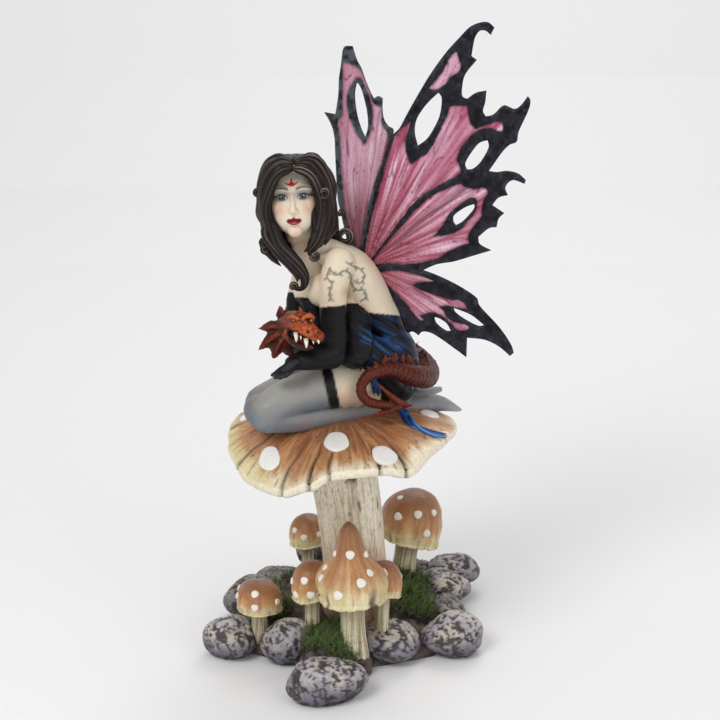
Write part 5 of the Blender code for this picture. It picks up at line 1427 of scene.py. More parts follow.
def make_head():
    bm = bmesh.new()
    mm = 0.001
    ball(bm, (0, 3.5 * mm, 6 * mm), (16.4 * mm, 18.5 * mm, 17.4 * mm), segments=40, rings=28)
    ball(bm, (0, -5.2 * mm, -4.6 * mm), (13.6 * mm, 12.2 * mm, 15.8 * mm), segments=40, rings=28)
    for s in (-1, 1):
        ball(bm, (s * 7.4 * mm, -9.0 * mm, -2.5 * mm), (6.2 * mm, 6.0 * mm, 6.6 * mm))
        ball(bm, (s * 8.2 * mm, -3.0 * mm, -11.5 * mm), (4.6 * mm, 6.5 * mm, 5.0 * mm))
        ball(bm, (s * 6.2 * mm, -11.8 * mm, 6.4 * mm), (6.2 * mm, 4.4 * mm, 3.4 * mm))
        ball(bm, (s * 1.75 * mm, -17.7 * mm, -5.9 * mm), (1.35 * mm, 1.6 * mm, 1.2 * mm))
    ball(bm, (0, -12.6 * mm, -17.6 * mm), (4.4 * mm, 3.8 * mm, 3.8 * mm))
    nose = spline([(0, -15.9, 3.6, 1.0), (0, -17.2, -0.4, 1.25), (0, -19.0, -4.6, 1.75), (0, -18.6, -5.9, 1.5)], 12) * mm
    tube(bm, nose[:, :3], nose[:, 3], nose[:, 3] * 1.05, (1, 0, 0), 14)
    up = spline([(-4.3, -15.4, -11.2, 0.45), (-1.7, -17.0, -10.2, 0.95), (0, -17.1, -10.5, 0.85), (1.7, -17.0, -10.2, 0.95), (4.3, -15.4, -11.2, 0.45)], 16) * mm
    tube(bm, up[:, :3], up[:, 3], up[:, 3], (0, 0, 1), 12)
    dn = spline([(-3.8, -15.2, -12.0, 0.5), (0, -16.5, -13.2, 1.45), (3.8, -15.2, -12.0, 0.5)], 14) * mm
    tube(bm, dn[:, :3], dn[:, 3], dn[:, 3], (0, 0, 1), 12)
    tube(bm, np.array([[0, 3, -8], [0, 5, -20]]) * mm, np.array([8.0, 7.6]) * mm, np.array([8.0, 7.6]) * mm, (1, 0, 0), 20)
    ob = melt("fairy_head", bm, 0.00048, 3)
    p = places(ob) * 1000
    n = normals(ob)
    x, y, z = p.T
    ax = np.abs(x)
    front = smooth(-n[:, 1], 0.05, 0.5) * smooth(-y, 3, 9)
    g = lambda a, b: np.exp(-(a * a) - (b * b))
    ex = ax - 6.2
    arc = 2.5 + 1.65 * np.clip(1 - (ex / 3.5) ** 2, 0, 1) + 0.06 * ex
    arc2 = 2.1 - 1.25 * np.clip(1 - (ex / 3.3) ** 2, 0, 1) + 0.04 * ex
    inlid = smooth(arc - z, -0.15, 0.25) * smooth(z - arc2, -0.15, 0.25) * smooth(np.abs(ex), 3.5, 3.2)
    h = -1.55 * g(ex / 4.4, (z - 2.9) / 3.0)
    h += 1.35 * np.exp(-((ex / 3.3) ** 2 + ((z - 2.3) / 2.5) ** 2) ** 1.5)
    lash = np.exp(-((z - arc) / 0.34) ** 2) * smooth(np.abs(ex), 3.9, 3.2)
    h += 0.34 * lash + 0.18 * np.exp(-((z - arc2) / 0.3) ** 2) * smooth(np.abs(ex), 3.5, 2.8)
    fold = arc + 1.15
    h -= 0.30 * np.exp(-((z - fold) / 0.35) ** 2) * smooth(np.abs(ex), 3.8, 2.6)
    h -= 0.75 * np.exp(-((z + 11.35 - 0.35 * np.cos(x * 1.3)) / 0.36) ** 2) * smooth(ax, 4.6, 3.6)
    h -= 0.45 * g(x / 1.0, (z + 8.6) / 1.1)
    h -= 0.5 * g(x / 4.0, (z + 15.0) / 1.2)
    h -= 0.35 * g((ax - 1.2) / 0.6, (z + 7.0) / 0.5)
    h -= 0.35 * g((ax - 5.2) / 1.0, (z + 11.3) / 1.0)
    p2 = p.copy()
    p2[:, 1] -= h * front
    put(ob, p2 / 1000)
    r = relief(ob, 4)
    # painted shade in the creases of the face
    skin = blend(rgb(234, 220, 198), rgb(204, 150, 122), np.clip(smooth(-r, 0.8, 3.0) * 0.45, 0, 0.5))
    skin = blend(skin, rgb(218, 142, 112), np.exp(-((ax - 9.5) / 4.4) ** 2 - ((z + 4.5) / 4.6) ** 2) * 0.55 * front)
    # painted shade: darker under the chin
    skin = blend(skin, rgb(208, 150, 122), smooth(z, -14, -21) * 0.5)
    shadow = np.exp(-(ex / 4.9) ** 2 - ((z - 4.0) / 2.7) ** 2) * front
    skin = blend(skin, rgb(78, 84, 92), np.clip(shadow * 0.85, 0, 0.85))
    skin = blend(skin, rgb(96, 70, 66), np.exp(-(ex / 3.9) ** 2 - ((z - 1.0) / 1.0) ** 2) * front * 0.4)
    c = blend(skin, rgb(196, 192, 184), inlid * front)
    iris = np.hypot(ex * np.where(x > 0, 1, 1) + 0.1, z - 2.35)
    c = blend(c, rgb(92, 112, 118), smooth(iris, 1.95, 1.65) * inlid * front)
    c = blend(c, rgb(40, 48, 54), (smooth(iris, 2.05, 1.8) - smooth(iris, 1.65, 1.4)) * inlid * front)
    c = blend(c, rgb(14, 12, 12), smooth(iris, 0.85, 0.6) * inlid * front)
    # painted glint: a white catchlight in each iris
    c = blend(c, rgb(250, 250, 250), smooth(np.hypot(ex - 0.45, z - 2.95), 0.42, 0.22) * inlid * front)
    c = blend(c, rgb(20, 16, 18), np.clip(lash * 1.3, 0, 1) * front * smooth(z, 1.0, 1.6))
    c = blend(c, rgb(44, 36, 38), np.exp(-((z - arc2) / 0.28) ** 2) * smooth(np.abs(ex), 3.6, 3.0) * front * 0.75)
    brow_z = 6.9 + 1.15 * np.clip(1 - ((ex - 0.7) / 4.6) ** 2, -1, 1)
    brow = np.exp(-((z - brow_z) / (0.42 - 0.04 * np.clip(ex, -4, 4))) ** 2) * smooth(ex, -4.4, -3.4) * smooth(ex, 5.6, 3.6)
    c = blend(c, rgb(36, 26, 26), np.clip(brow * 1.1, 0, 0.92) * front)
    lip_top = -9.75 + 0.25 * np.cos(x * 1.9) - 0.075 * x * x
    lips = smooth(z - lip_top, 0.35, -0.05) * smooth(z + 14.1 - 0.10 * x * x, -0.1, 0.35) * smooth(ax, 4.7, 4.2)
    c = blend(c, blend(rgb(132, 34, 44), rgb(176, 84, 90), np.exp(-(x / 2.4) ** 2 - ((z + 12.8) / 0.8) ** 2)), lips * front)
    c = blend(c, rgb(74, 20, 28), np.exp(-((z + 11.35 - 0.35 * np.cos(x * 1.3)) / 0.28) ** 2) * smooth(ax, 4.5, 3.8) * front)
    # plain three-point ornament on the forehead
    oz = (z - 10.0) / 1.35
    x_keep, x, ax = x, x / 1.35, ax / 1.35
    mark = smooth(np.hypot(x / 1.15, oz / 1.0), 1.1, 0.85)
    mark = np.maximum(mark, smooth(np.abs(x) / np.clip(0.75 * (1 - oz / 3.3), 0.01, 9), 1.15, 0.8) * smooth(oz, -0.6, 0.0) * smooth(oz, 3.2, 2.8))
    sweep = oz + 0.3 - 0.13 * ax * ax
    mark = np.maximum(mark, smooth(np.abs(sweep) / np.clip(0.85 * (1 - ax / 3.6), 0.01, 9), 1.15, 0.8) * smooth(ax, 3.4, 3.0))
    x, ax = x_keep, np.abs(x_keep)
    c = blend(c, rgb(206, 30, 26), mark * front * (y < -5))
    tint(ob, c)
    put(ob, (places(ob) @ turn_head().T) + HEAD)
    settle(ob, "skin", "figure", "fairy_figure")


def lock(heap, pts, centre=None, ridges=4, rings=46, sides=28, deep=0.17, wavy=0.0, seed=0, highlight=1.0, ends=(0.14, 0.30)):
    """A grooved lock of hair. pts rows: (u, v, depth, thick mm, wide mm), or points in space with radii."""
    p = np.array(pts, float)
    if abs(p[:, 0]).max() > 5:
        path, ra, rw = stations(pts, rings)
    else:
        s = spline(p, rings)
        path, ra, rw = s[:, :3], s[:, 3], s[:, 4]
    s = np.linspace(0, 1, rings)
    c = (HEAD + np.array([0, 0.004, 0])) if centre is None else np.asarray(centre)
    t, _, _ = frames(path, (1, 0, 0))
    out = path - c
    out[:, 2] *= 0.35 if centre is None else 1
    if wavy:
        o = out / np.linalg.norm(out, axis=1)[:, None]
        side = np.cross(t, o)
        amp = wavy / 1000 * smooth(s, 0.25, 0.6)
        path = path + side * (amp * np.sin(s * 13 + seed))[:, None] + o * (amp * 0.5 * np.cos(s * 11 + seed * 2))[:, None]
        t, _, _ = frames(path, (1, 0, 0))
    w = np.cross(t, out)
    _, w, a = frames(path, w)
    taper = np.clip(np.minimum((s / ends[0] + 0.25), ((1 - s) / ends[1]) + 0.07), 0, 1) ** 0.7
    q = np.arange(sides) * 2 * math.pi / sides
    rows, shade = [], []
    o = out / np.linalg.norm(out, axis=1)[:, None]
    for i in range(rings):
        twist = 1.4 * s[i] + seed
        g = 0.65 * np.cos(q * 2 * ridges + twist) + 0.35 * np.cos(q * (4 * ridges + 3) - twist * 2)
        k = 1 + deep * g
        ring = path[i] + (np.outer(np.cos(q) * k, a[i]) * ra[i] + np.outer(np.sin(q) * (1 + 0.5 * deep * g), w[i]) * rw[i]) * taper[i]
        rows.append(ring)
        d = ring - path[i]
        d /= np.linalg.norm(d, axis=1)[:, None] + 1e-9
        outer = smooth(d @ o[i], 0.1, 0.9)
        up = smooth(d @ np.array([0.1, -0.5, 0.85]), -0.1, 0.9)
        # painted highlight on the ridges of each lock, strongest where they face out and up, together with the
        # dry-brushed paint of the hair
        light = smooth(g, -0.05, 0.85) * outer * (0.35 + 0.65 * up) * highlight * (0.72 + 0.4 * math.sin(7 * s[i] + seed * 1.7))
        shade.append(blend(blend(rgb(12, 9, 10), rgb(34, 27, 26), smooth(g, -0.9, 0.4)), rgb(166, 148, 134), np.clip(light, 0, 0.9)))
    v, f = loft(np.array(rows))
    heap.add(v, f, np.vstack([np.vstack(shade), shade[0].mean(0), shade[-1].mean(0)]))


def curl(heap, u, v, d, r, thick, turns=1.15, start=0.0, depth=1.5, seed=0):
    """A ring of hair seen from the front."""
    rows = []
    for k in range(26):
        s = k / 25
        a = start + s * turns * 2 * math.pi
        rr = r * (1 - 0.45 * s)
        c = at(u + rr * math.cos(a), v - rr * math.sin(a), d - depth * s * 2)
        rows.append((*c, thick / 1000 * (1 - 0.45 * s), thick * 1.15 / 1000 * (1 - 0.45 * s)))
    lock(heap, rows, centre=at(u, v, d + 14), ridges=3, rings=54, sides=20, seed=seed, ends=(0.1, 0.16))


def make_hair():
    bm = bmesh.new()
    ball(bm, HEAD + np.array([0.0016, 0.0085, 0.0070]), (0.0196, 0.0180, 0.0180), segments=36, rings=24)
    limb(bm, [(303, 178, 8, 10, 10), (308, 205, 7, 10, 11), (318, 228, 4, 7.5, 8.5), (332, 241, 3, 4, 6)], (1, 0, 0), 14, 22)
    limb(bm, [(272, 190, -4, 6, 5), (270, 215, -6, 6, 5), (276, 238, -10, 6, 5)], (0, 1, 0), 12, 16)
    ob = melt("fairy_hair_under", bm, 0.0016, 2)
    tint(ob, np.broadcast_to(rgb(18, 14, 14), (len(ob.data.vertices), 3)))
    settle(ob, "hair", "figure", "fairy_figure")

    heap = Heap()
    left = [
        [(293, 165, -27, 2.4, 3), (283, 168, -30, 2.8, 4), (273, 178, -30.5, 3, 4.4), (267, 192, -29, 3, 4.6), (265, 207, -27, 3, 4.6), (267, 222, -25, 3, 4.4), (273, 237, -23, 2.8, 4), (281, 250, -21, 2, 3)],
        [(293, 161, -25.5, 2.6, 3), (281, 162, -28, 3, 4.4), (269, 172, -28, 3.2, 5), (263, 187, -26, 3.2, 5), (261, 203, -24, 3.2, 5), (261, 216, -23, 3.2, 5), (266, 230, -21, 3, 4.6), (270, 243, -20, 2.4, 3.4)],
        [(293, 157, -22, 2.6, 3), (279, 157.5, -24, 3, 4.6), (266.5, 168, -23, 3.4, 5.4), (260.5, 184, -20, 3.4, 5.4), (260, 202, -18, 3.4, 5.4), (259, 214, -17, 3.2, 5.2), (264, 228, -17, 3, 4.6), (268, 246, -17, 2.2, 3)],
        [(293.5, 155.5, -16, 2.6, 3), (279, 156, -16.5, 3, 5), (266, 167, -14, 3.4, 5.6), (260.5, 183, -11, 3.4, 5.6), (260.5, 202, -9, 3.4, 5.6), (261, 218, -9, 3.2, 5), (266, 233, -11, 3, 4.4), (273, 247, -13, 2.2, 3)],
        [(294, 155, -9, 2.6, 3), (280, 156.5, -8, 3, 5), (268, 168, -4, 3.4, 5.6), (263, 185, -1, 3.4, 5.6), (263, 204, 1, 3.4, 5.4), (266, 222, 0, 3.2, 5), (272, 238, -4, 2.8, 4.4), (280, 252, -9, 2, 3)],
        # the long lock over the far shoulder
        [(266, 216, -24, 2.6, 3.6), (270, 230, -25, 3, 4.4), (279, 244, -26, 3, 4.4), (290, 256, -26, 2.8, 4), (300, 267, -26, 2.6, 3.4), (305, 278, -27, 2.2, 2.8), (303, 287, -28, 1.7, 2.1), (296.5, 289, -28.5, 1.5, 1.7), (293, 284.5, -28.5, 1.2, 1.3)],
        [(262, 222, -20, 2.4, 3.4), (267, 236, -22, 2.8, 4.2), (277, 250, -24, 2.8, 4.2), (288, 262, -24, 2.6, 3.8), (296, 273, -25, 2.2, 3), (298, 282, -26, 1.5, 2)],
        [(276, 236, -20, 2.4, 3.4), (284, 248, -22, 2.8, 3.8), (294, 260, -23, 2.6, 3.4), (301, 270, -24, 2.2, 2.8), (300, 280, -25, 1.4, 1.8)],
        [(262, 238, -18, 2.2, 3), (265, 248, -18, 2.4, 3), (272, 257, -18, 2.0, 2.6), (281, 266, -19, 1.4, 2)],
    ]
    right = [
        [(294, 165, -27, 2.4, 3), (304, 166, -30, 2.8, 4), (313, 175, -30, 3, 4.6), (319, 189, -28, 3, 4.8), (321, 204, -26, 3, 4.8), (320, 219, -24, 3, 4.6), (316, 233, -23, 2.8, 4), (311, 246, -23, 2, 3)],
        [(295, 161, -25.5, 2.6, 3), (307, 161, -28, 3, 4.6), (318, 170, -27.5, 3.2, 5.2), (325, 185, -24, 3.2, 5.2), (328, 201, -22, 3.2, 5.2), (328, 216, -21, 3.2, 5), (322, 231, -21, 3, 4.6), (314, 245, -24, 2.4, 3.6), (308, 252, -26, 1.8, 2.4), (311, 258, -27, 1.5, 1.8), (317, 257, -27, 1.2, 1.4)],
        [(295, 157, -22, 2.6, 3), (309, 156, -24, 3, 4.8), (321, 166, -22, 3.4, 5.6), (328.5, 181, -17, 3.4, 5.6), (332, 198, -15, 3.4, 5.6), (333.5, 214, -14, 3.4, 5.4), (330, 229, -15, 3, 4.8), (321, 242, -20, 2.6, 4), (316, 251, -24, 2, 2.6)],
        [(296, 155, -16, 2.6, 3), (310, 154.5, -16.5, 3, 5), (323, 164, -13, 3.4, 5.8), (330.5, 180, -8, 3.4, 5.8), (334, 198, -5, 3.4, 5.8), (335.5, 214, -4, 3.4, 5.6), (334, 229, -6, 3, 5), (325, 243, -14, 2.4, 3.8), (318, 250, -20, 1.8, 2.6)],
        [(296, 154.5, -9, 2.6, 3), (310, 155, -8, 3, 5), (322, 165, -4, 3.4, 5.8), (330, 181, 2, 3.4, 5.8), (333, 199, 5, 3.4, 5.8), (334, 216, 6, 3.4, 5.6), (335, 230, 3, 3, 5), (338, 242, -2, 2.4, 3.6), (344, 247, -4, 1.8, 2.4)],
        [(318, 206, -24, 2.2, 3), (321, 220, -23.5, 2.6, 3.8), (319, 234, -23, 2.6, 3.8), (311, 246, -25, 2.2, 3), (304, 252, -25, 1.6, 2)],
    ]
    def shape(pts, side):
        out = []
        for u, v, d, a, w in pts:
            v = v + 0.62 * max(0.0, 167 - v) ** 1.0 * 0.75
            if side < 0:
                u = u + (3.6 if u < 272 and v < 232 else 0.0)
            else:
                u = u - (4.2 if u > 316 and v < 226 else 2.0 if u > 316 else 0.0)
            out.append((u, v, d, a, w))
        return out

    for k, pts in enumerate(left):
        pts = shape(pts, -1)
        if k == 0:
            pts = [(293.5, 168, -28.5, 2.8, 3.4), (284, 170, -30.5, 2.6, 3.2), (276.5, 175.5, -30.5, 2.5, 3.0), (271.5, 184, -30, 2.6, 3.2), (268, 196, -28, 2.6, 3.4),
                   (266, 209, -27, 2.6, 3.6), (268, 223, -25, 2.6, 3.6), (273, 237, -23, 2.6, 3.6), (281, 250, -21, 2, 3)]
        lock(heap, pts, seed=k * 1.3, wavy=0.5 if k < 5 else 0.3, highlight=0.42 if k < 5 else 0.34)
    for k, pts in enumerate(right):
        pts = shape(pts, 1)
        if k == 0:
            pts = [(293, 168, -28.5, 2.8, 3.4), (303, 170, -30.5, 2.6, 3.2), (311, 175.5, -30, 2.5, 3.0), (316, 184, -29, 2.6, 3.2), (319.5, 196, -27, 2.6, 3.4),
                   (321, 208, -26, 2.6, 3.6), (320, 221, -24, 2.6, 3.6), (316, 234, -23, 2.6, 3.6), (311, 246, -23, 2, 3)]
        elif k == 1:
            pts = [(u + 1.5 * (v > 172), v, d, a, w * 0.85) for u, v, d, a, w in pts]
        lock(heap, pts, seed=4 + k * 1.7, wavy=0.5, highlight=0.62)
    # back of the head
    for k in range(15):
        az = math.radians(75 + 210 * k / 14)
        rows = []
        for j, (el, drop) in enumerate([(84, 0), (62, 0), (38, 0), (12, 0), (-8, 4), (-14, 15), (-16, 27), (-16, 38 + 5 * math.sin(k * 2.1))]):
            e = math.radians(el)
            rx, ry = 20.6, 20.5
            squeeze = 1 - 0.012 * drop
            x = rx * math.sin(az) * math.cos(e) * squeeze + 1.6 + 0.14 * drop
            y = -ry * math.cos(az) * math.cos(e) * squeeze + 5.5 - 0.10 * drop
            z = 19.0 * math.sin(e) + 4.6 - drop
            c = HEAD + np.array([x, y, z]) / 1000
            rows.append((*c, 0.0030 if j < 7 else 0.0018, 0.0058 if 0 < j < 7 else 0.0030))
        lock(heap, rows, seed=k * 0.9, wavy=1.0, highlight=0.45)
    curl(heap, 324, 193, -27, 5.2, 1.9, 1.2, 2.0, seed=1)
    curl(heap, 345, 236, 0, 7.6, 2.3, 1.25, 2.4, seed=2)
    curl(heap, 340.5, 212, -1, 2.6, 1.2, 1.0, 2.8, seed=3)
    curl(heap, 257.5, 193, -17, 3.0, 1.5, 1.1, 0.4, seed=5)
    curl(heap, 265.5, 250, -19, 3.4, 1.7, 1.1, 0.2, seed=6)
    curl(heap, 293.5, 286.5, -28, 3.2, 1.3, 1.1, 5.6, seed=7)
    curl(heap, 315, 256, -27, 3.6, 1.5, 1.1, 3.0, seed=8)
    settle(heap.piece("fairy_hair"), "hair", "figure", "fairy_figure")


# ================================================================ dragon
DRAGON = [(300, 324, -46, 6.6, 7.2), (292, 322, -38, 6.4, 6.6), (284, 328, -24, 6.0, 6.0), (288, 342, -10, 6.6, 6.6), (300, 346, 8, 7.6, 7.6),
          (325, 342, 28, 8.4, 8.4), (365, 344, 45, 9.0, 9.0), (402, 352, 48, 9.0, 9.0), (423, 366, 34, 8.4, 8.4),
          (426, 376, 14, 7.6, 7.6), (412, 375, -8, 6.6, 6.6), (388, 369, -20, 4.8, 4.8), (368, 376, -27, 3.6, 3.6),
          (361, 390, -29, 3.3, 3.3), (369, 402, -29, 3.0, 3.0), (388, 405, -27, 2.6, 2.6), (402, 406, -26, 2.0, 2.0)]


def plate(bm, outline, depth, thick):
    pts = rounded(outline, 1.6)
    a = [bm.verts.new(at(u, v, depth - thick / 2)) for u, v in pts]
    b = [bm.verts.new(at(u, v, depth + thick / 2)) for u, v in pts]
    bm.faces.new(a)
    bm.faces.new(b[::-1])
    for k in range(len(a)):
        j = (k + 1) % len(a)
        bm.faces.new((a[k], b[k], b[j], a[j]))


def make_dragon():
    bm = bmesh.new()
    path, ra, rw = stations(DRAGON, 150)
    tube(bm, path, ra, rw, (0, 0, 1), 22)
    ball(bm, at(300, 322, -46), (0.0075, 0.0070, 0.0064))
    # muzzle, brows, jaw
    limb(bm, [(299, 323, -49, 5.6, 6.0), (306, 328, -54, 4.6, 5.2), (314, 334, -58, 3.8, 4.6), (319, 337, -59, 3.0, 3.8)], (1, 0.3, 0), 14, 18)
    limb(bm, [(288, 334, -42, 3.0, 3.6), (297, 343, -49, 2.6, 3.4), (306, 347.5, -54, 2.0, 2.8), (311, 347.5, -56, 1.3, 1.8)], (1, 0.3, 0), 12, 14)
    for u, v, d, r in [(293, 319.5, -50, 2.0), (310.5, 319.5, -53, 2.0), (316.5, 332, -61, 1.5), (309.5, 331.5, -59.5, 1.5), (288, 332, -44, 2.6), (320.5, 336, -60.5, 1.4)]:
        ball(bm, at(u, v, d), (r / 1000,) * 3, segments=14, rings=10)
    limb(bm, [(288, 318, -47, 1.0, 1.0), (293, 316.5, -52, 1.5, 1.5), (300, 320, -54, 1.2, 1.2)], (0, 0, 1), 8, 10)
    limb(bm, [(303, 319, -55, 1.2, 1.2), (309, 315.5, -55, 1.5, 1.5), (314, 318, -52, 1.0, 1.0)], (0, 0, 1), 8, 10)
    for a, b, r in [((303, 316, -47), (297.8, 303.5, -42), 2.4), ((309, 318, -49), (310, 307.5, -45), 2.0), ((299, 317, -51), (301, 310.5, -51), 1.4),
                    ((304, 325, -55), (306, 321, -57.5), 1.1), ((309, 329, -58), (311, 325.5, -60), 1.0), ((288, 336, -44), (284, 341, -42), 1.6), ((292, 341, -46), (289, 346, -45), 1.4)]:
        spike(bm, at(*a), at(*b), r / 1000)
    # ribbed ear and wing frill at the left
    fan = [(290, 312), (284.4, 312), (279.3, 304.7), (276, 315), (280, 321), (269, 321), (258, 329), (268, 332), (262.8, 340), (257.7, 351), (266.6, 348),
           (270.4, 350), (271.7, 358.2), (275.5, 358.2), (283.8, 350), (288, 340), (290, 326)]
    plate(bm, fan, -31, 1.7)
    for tip, r in [((279.5, 305.5), 1.5), ((259, 329), 1.9), ((258.5, 350), 1.9), ((273.5, 357.5), 1.6), ((284, 349), 1.3)]:
        limb(bm, [(289, 328, -33, r * 1.3, r * 1.3), ((289 + tip[0]) / 2, (326 + tip[1]) / 2 - 1.5, -33, r, r), (*tip, -31, 0.5, 0.5)], (0, 1, 0), 12, 12)
    # back spines and the crest over the hip
    for (u, v, d), (tu, tv), r in [((370, 371, -26), (365, 367), 2.0), ((376, 367, -25), (371, 361), 2.2), ((384, 363, -21), (384, 353), 2.6), ((393, 362, -17), (395, 350.5), 3.0),
                                   ((401, 362, -13), (402, 353), 2.6), ((407, 363, -9), (408, 353), 3.0), ((414, 366, -3), (416.5, 357), 2.6), ((419, 368, 4), (422.5, 359.5), 2.6),
                                   ((424, 370, 10), (430, 361), 2.8), ((427, 374, 18), (434, 368), 2.2)]:
        spike(bm, at(u, v, d), at(tu, tv, d - 1), r / 1000, 0.7, (1, 0, 0), bow=(0.001, 0, 0.001))
    for k in range(26):
        i = 12 + int(k * 3.6)
        c = path[i]
        t = path[i + 1] - path[i - 1]
        t /= np.linalg.norm(t)
        up = np.array([0, 0, 1.0]) - t * t[2]
        up /= np.linalg.norm(up)
        if i < 106:
            spike(bm, c + up * ra[i] * 0.8, c + up * (ra[i] + 0.0055) + t * 0.002, 0.0022, 0.6, t)
    # arrow-shaped tail end
    plate(bm, [(377, 383), (386, 389), (394, 396), (404, 402), (413, 406), (404, 409), (392, 412), (382, 415), (371.5, 418), (380, 411), (388, 406.5), (391, 402), (386, 394)], -27, 2.0)
    limb(bm, [(378, 384, -27, 0.7, 0.7), (388, 393, -28, 1.4, 1.4), (400, 402, -28, 1.8, 1.8), (412, 406, -27, 0.7, 0.7)], (0, 1, 0), 12, 12)
    limb(bm, [(373, 417, -27, 0.7, 0.7), (386, 412, -28, 1.3, 1.3), (400, 407, -28, 1.6, 1.6)], (0, 1, 0), 10, 12)
    ob = melt("dragon_body", bm, 0.00078, 1)
    p, n = places(ob), normals(ob)
    d, s = near_line(p, path)
    rad = np.interp(s, np.linspace(0, 1, 150), ra)
    on_body = smooth(d / rad, 1.25, 1.05)
    d1, d2 = cells(p, 0.0023, 5)
    scale = smooth(d2 - d1, 0.02, 0.35)
    rings = np.cos(s * 330)
    length = np.linalg.norm(np.diff(path, axis=0), axis=1).sum()
    belly = smooth(-n[:, 2], 0.0, 0.5) * on_body
    ring_scale = 0.5 + 0.5 * np.cos(s * length / 0.0031 * 2 * math.pi + 1.6 * wave(p, 0.004, 71))
    h = ((scale - 0.5) * 0.00026 + (ring_scale - 0.5) * 0.00030 * on_body * smooth(s, 0.10, 0.16)) * (1 - 0.6 * belly) + 0.00028 * np.cos(s * length / 0.0026 * 2 * math.pi) * belly * smooth(s, 0.12, 0.2)
    h += fbm(p, 0.0016, 2, 9) * 0.00018
    u, v = drawn(p)
    front = p[:, 1] < at(300, 330, -38)[1]
    mouth = np.exp(-((v - (334 + 0.42 * (u - 290))) / 2.6) ** 2) * smooth(u, 285, 290) * smooth(u, 317, 311) * front * smooth(-n[:, 1], 0.0, 0.4)
    h -= 0.0016 * mouth
    nostril = np.exp(-((u - 307.5) ** 2 + (v - 332) ** 2) / 2.2) + np.exp(-((u - 317.5) ** 2 + (v - 332) ** 2) / 1.8)
    h -= 0.0011 * nostril * front
    put(ob, p + n * h[:, None])
    r = relief(ob, 1)
    r2 = relief(ob, 6)
    k = np.clip(0.55 * r + 0.6 * r2, -2, 2.5)
    head = np.exp(-((u - 303) ** 2 + (v - 327) ** 2) / 20 ** 2) * (p[:, 1] < at(300, 330, -34)[1])
    dark, mid, hot = rgb(34, 12, 10), rgb(84, 29, 17), rgb(160, 70, 36)
    mid = blend(mid, rgb(158, 62, 26), head)
    hot = blend(np.broadcast_to(hot, (len(p), 3)), rgb(224, 124, 56), head)
    # painted shade in the creases and painted highlight on the ridges, along with the dragon's own dry-brushed orange
    c = blend(dark, mid, smooth(k, -0.9, 0.3))
    c = blend(c, hot, smooth(k, 0.35, 1.5) * (0.28 + 0.62 * head))
    frill = smooth(u, 286, 280) * (p[:, 1] < at(300, 330, -20)[1])
    # painted shade in the creases of the frill
    c = blend(c, rgb(66, 24, 20), frill * smooth(k, 0.9, -0.3) * 0.7)
    # painted shade: darker on the underside of the body
    c = blend(c, rgb(40, 10, 9), belly * 0.35)
    jaw = smooth(v - (335 + 0.50 * (u - 290)), 0.5, 3.5) * smooth(u, 283, 290) * front
    c = blend(c, rgb(24, 12, 12), jaw * 0.9)
    c = blend(c, rgb(26, 7, 8), np.clip(mouth * 1.5 + nostril * front, 0, 1) * 0.95)
    for eu, ev in ((293, 320.8), (311, 320.2)):
        e = np.hypot((u - eu) / 1.35, (v - ev) / 1.0)
        c = blend(c, rgb(18, 8, 8), smooth(e, 1.6, 1.1) * front)
        c = blend(c, rgb(226, 168, 52), smooth(e, 0.75, 0.5) * front)
    tint(ob, c)
    settle(ob, "dragon", "dragon_scale", "dragon")
    heap = Heap()
    bone, root = rgb(244, 240, 228), rgb(170, 140, 110)
    for (u, v), (tu, tv), d, w in [((295.5, 332.0), (296.3, 342.0), -55, 1.5), ((305.8, 338.0), (306.4, 348.0), -59.5, 1.5), ((300.6, 336), (300.8, 339.8), -57, 0.6),
                                   ((318, 340), (318.8, 344), -62, 0.7), ((313, 341), (313.4, 344.2), -60.5, 0.5)]:
        path2 = spline([at(u, v, d), at((u + tu) / 2 + 0.3, (v + tv) / 2, d - 0.6), at(tu, tv, d)], 10)
        k2 = np.sqrt(np.linspace(1, 0.02, 10)) * w / 1000
        _, ww, aa = frames(path2, (1, 0, 0))
        q = np.arange(14) * 2 * math.pi / 14
        rows = np.array([path2[i] + np.outer(np.cos(q), aa[i]) * k2[i] + np.outer(np.sin(q), ww[i]) * k2[i] for i in range(10)])
        vv, ff = loft(rows)
        tone = np.vstack([np.repeat(blend(root, bone, min(1, i / 3))[None], 14, 0) for i in range(10)] + [root[None], bone[None]])
        heap.add(vv, ff, tone)
    settle(heap.piece("dragon_teeth"), "spot", "dragon_scale", "dragon")


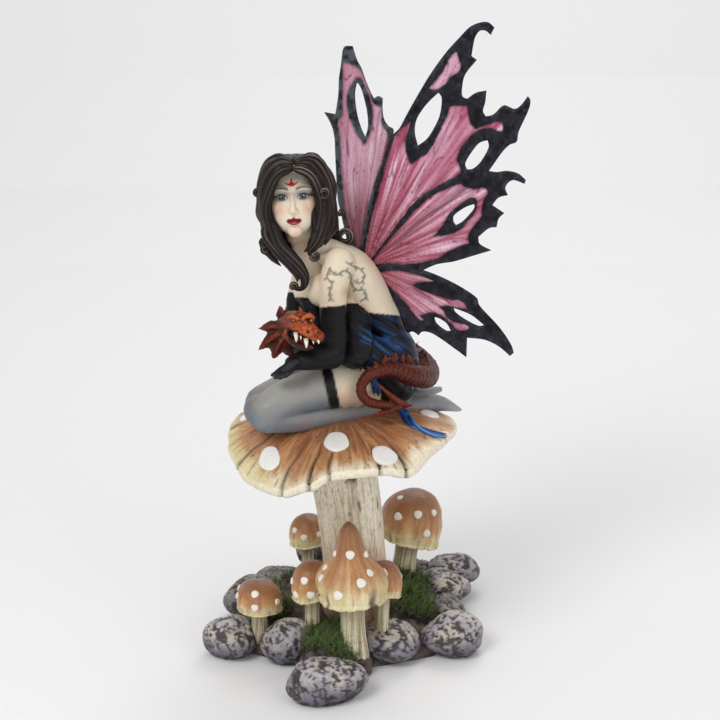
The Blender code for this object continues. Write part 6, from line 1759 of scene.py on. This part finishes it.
# ================================================================ light, floor, camera
def make_studio():
    sc = bpy.context.scene
    sc.view_settings.view_transform = "Standard"
    sc.view_settings.look = "None"
    bm = bmesh.new()
    prof = [(-1.6, 0.0), (0.9, 0.0), (1.15, 0.03), (1.32, 0.14), (1.42, 0.32), (1.45, 1.9)]
    rows = [[bm.verts.new((x, y, z - 0.0002)) for x in (-2.6, 2.6)] for y, z in prof]
    for a, b in zip(rows, rows[1:]):
        bm.faces.new((a[0], a[1], b[1], b[0]))
    floor = from_bmesh("studio_floor", bm)
    m = bpy.data.materials.new("floor_paper")
    m.use_nodes = True
    nodes, links = m.node_tree.nodes, m.node_tree.links
    b = nodes["Principled BSDF"]
    b.inputs["Base Color"].default_value = (0.90, 0.90, 0.905, 1)
    b.inputs["Roughness"].default_value = 0.9
    b.inputs["Specular IOR Level"].default_value = 0.1
    floor.data.materials.append(m)
    w = bpy.data.worlds.new("studio")
    sc.world = w
    w.use_nodes = True
    w.node_tree.nodes["Background"].inputs[0].default_value = (1.0, 1.0, 1.0, 1)
    w.node_tree.nodes["Background"].inputs[1].default_value = 0.56
    for name, loc, size, power in [("key", (-0.75, -1.0, 1.35), 0.8, 11), ("fill", (1.0, -1.0, 0.7), 1.0, 3.5), ("back", (0.3, 1.0, 1.3), 0.8, 5)]:
        l = bpy.data.lights.new(name, "AREA")
        l.shape, l.size, l.energy = "DISK", size, power
        ob = bpy.data.objects.new(name, l)
        sc.collection.objects.link(ob)
        ob.location = loc
        ob.rotation_euler = (Vector((0, 0, 0.2)) - Vector(loc)).to_track_quat("-Z", "Y").to_euler()
    cam = bpy.data.objects.new("camera", bpy.data.cameras.new("camera"))
    sc.collection.objects.link(cam)
    cam.data.sensor_width = 36
    cam.data.lens = FOCAL / 720 * 36
    cam.data.clip_start = 0.02
    cam.location = EYE
    cam.rotation_euler = Vector((0, CE, -SE)).to_track_quat("-Z", "Y").to_euler()
    sc.camera = cam


for step in (make_ground, make_cap, make_stem, make_small, make_moss, make_wings, make_upper, make_lower, make_skirt, make_head, make_hair,
             make_dragon, make_studio):
    step()
bpy.context.view_layer.update()
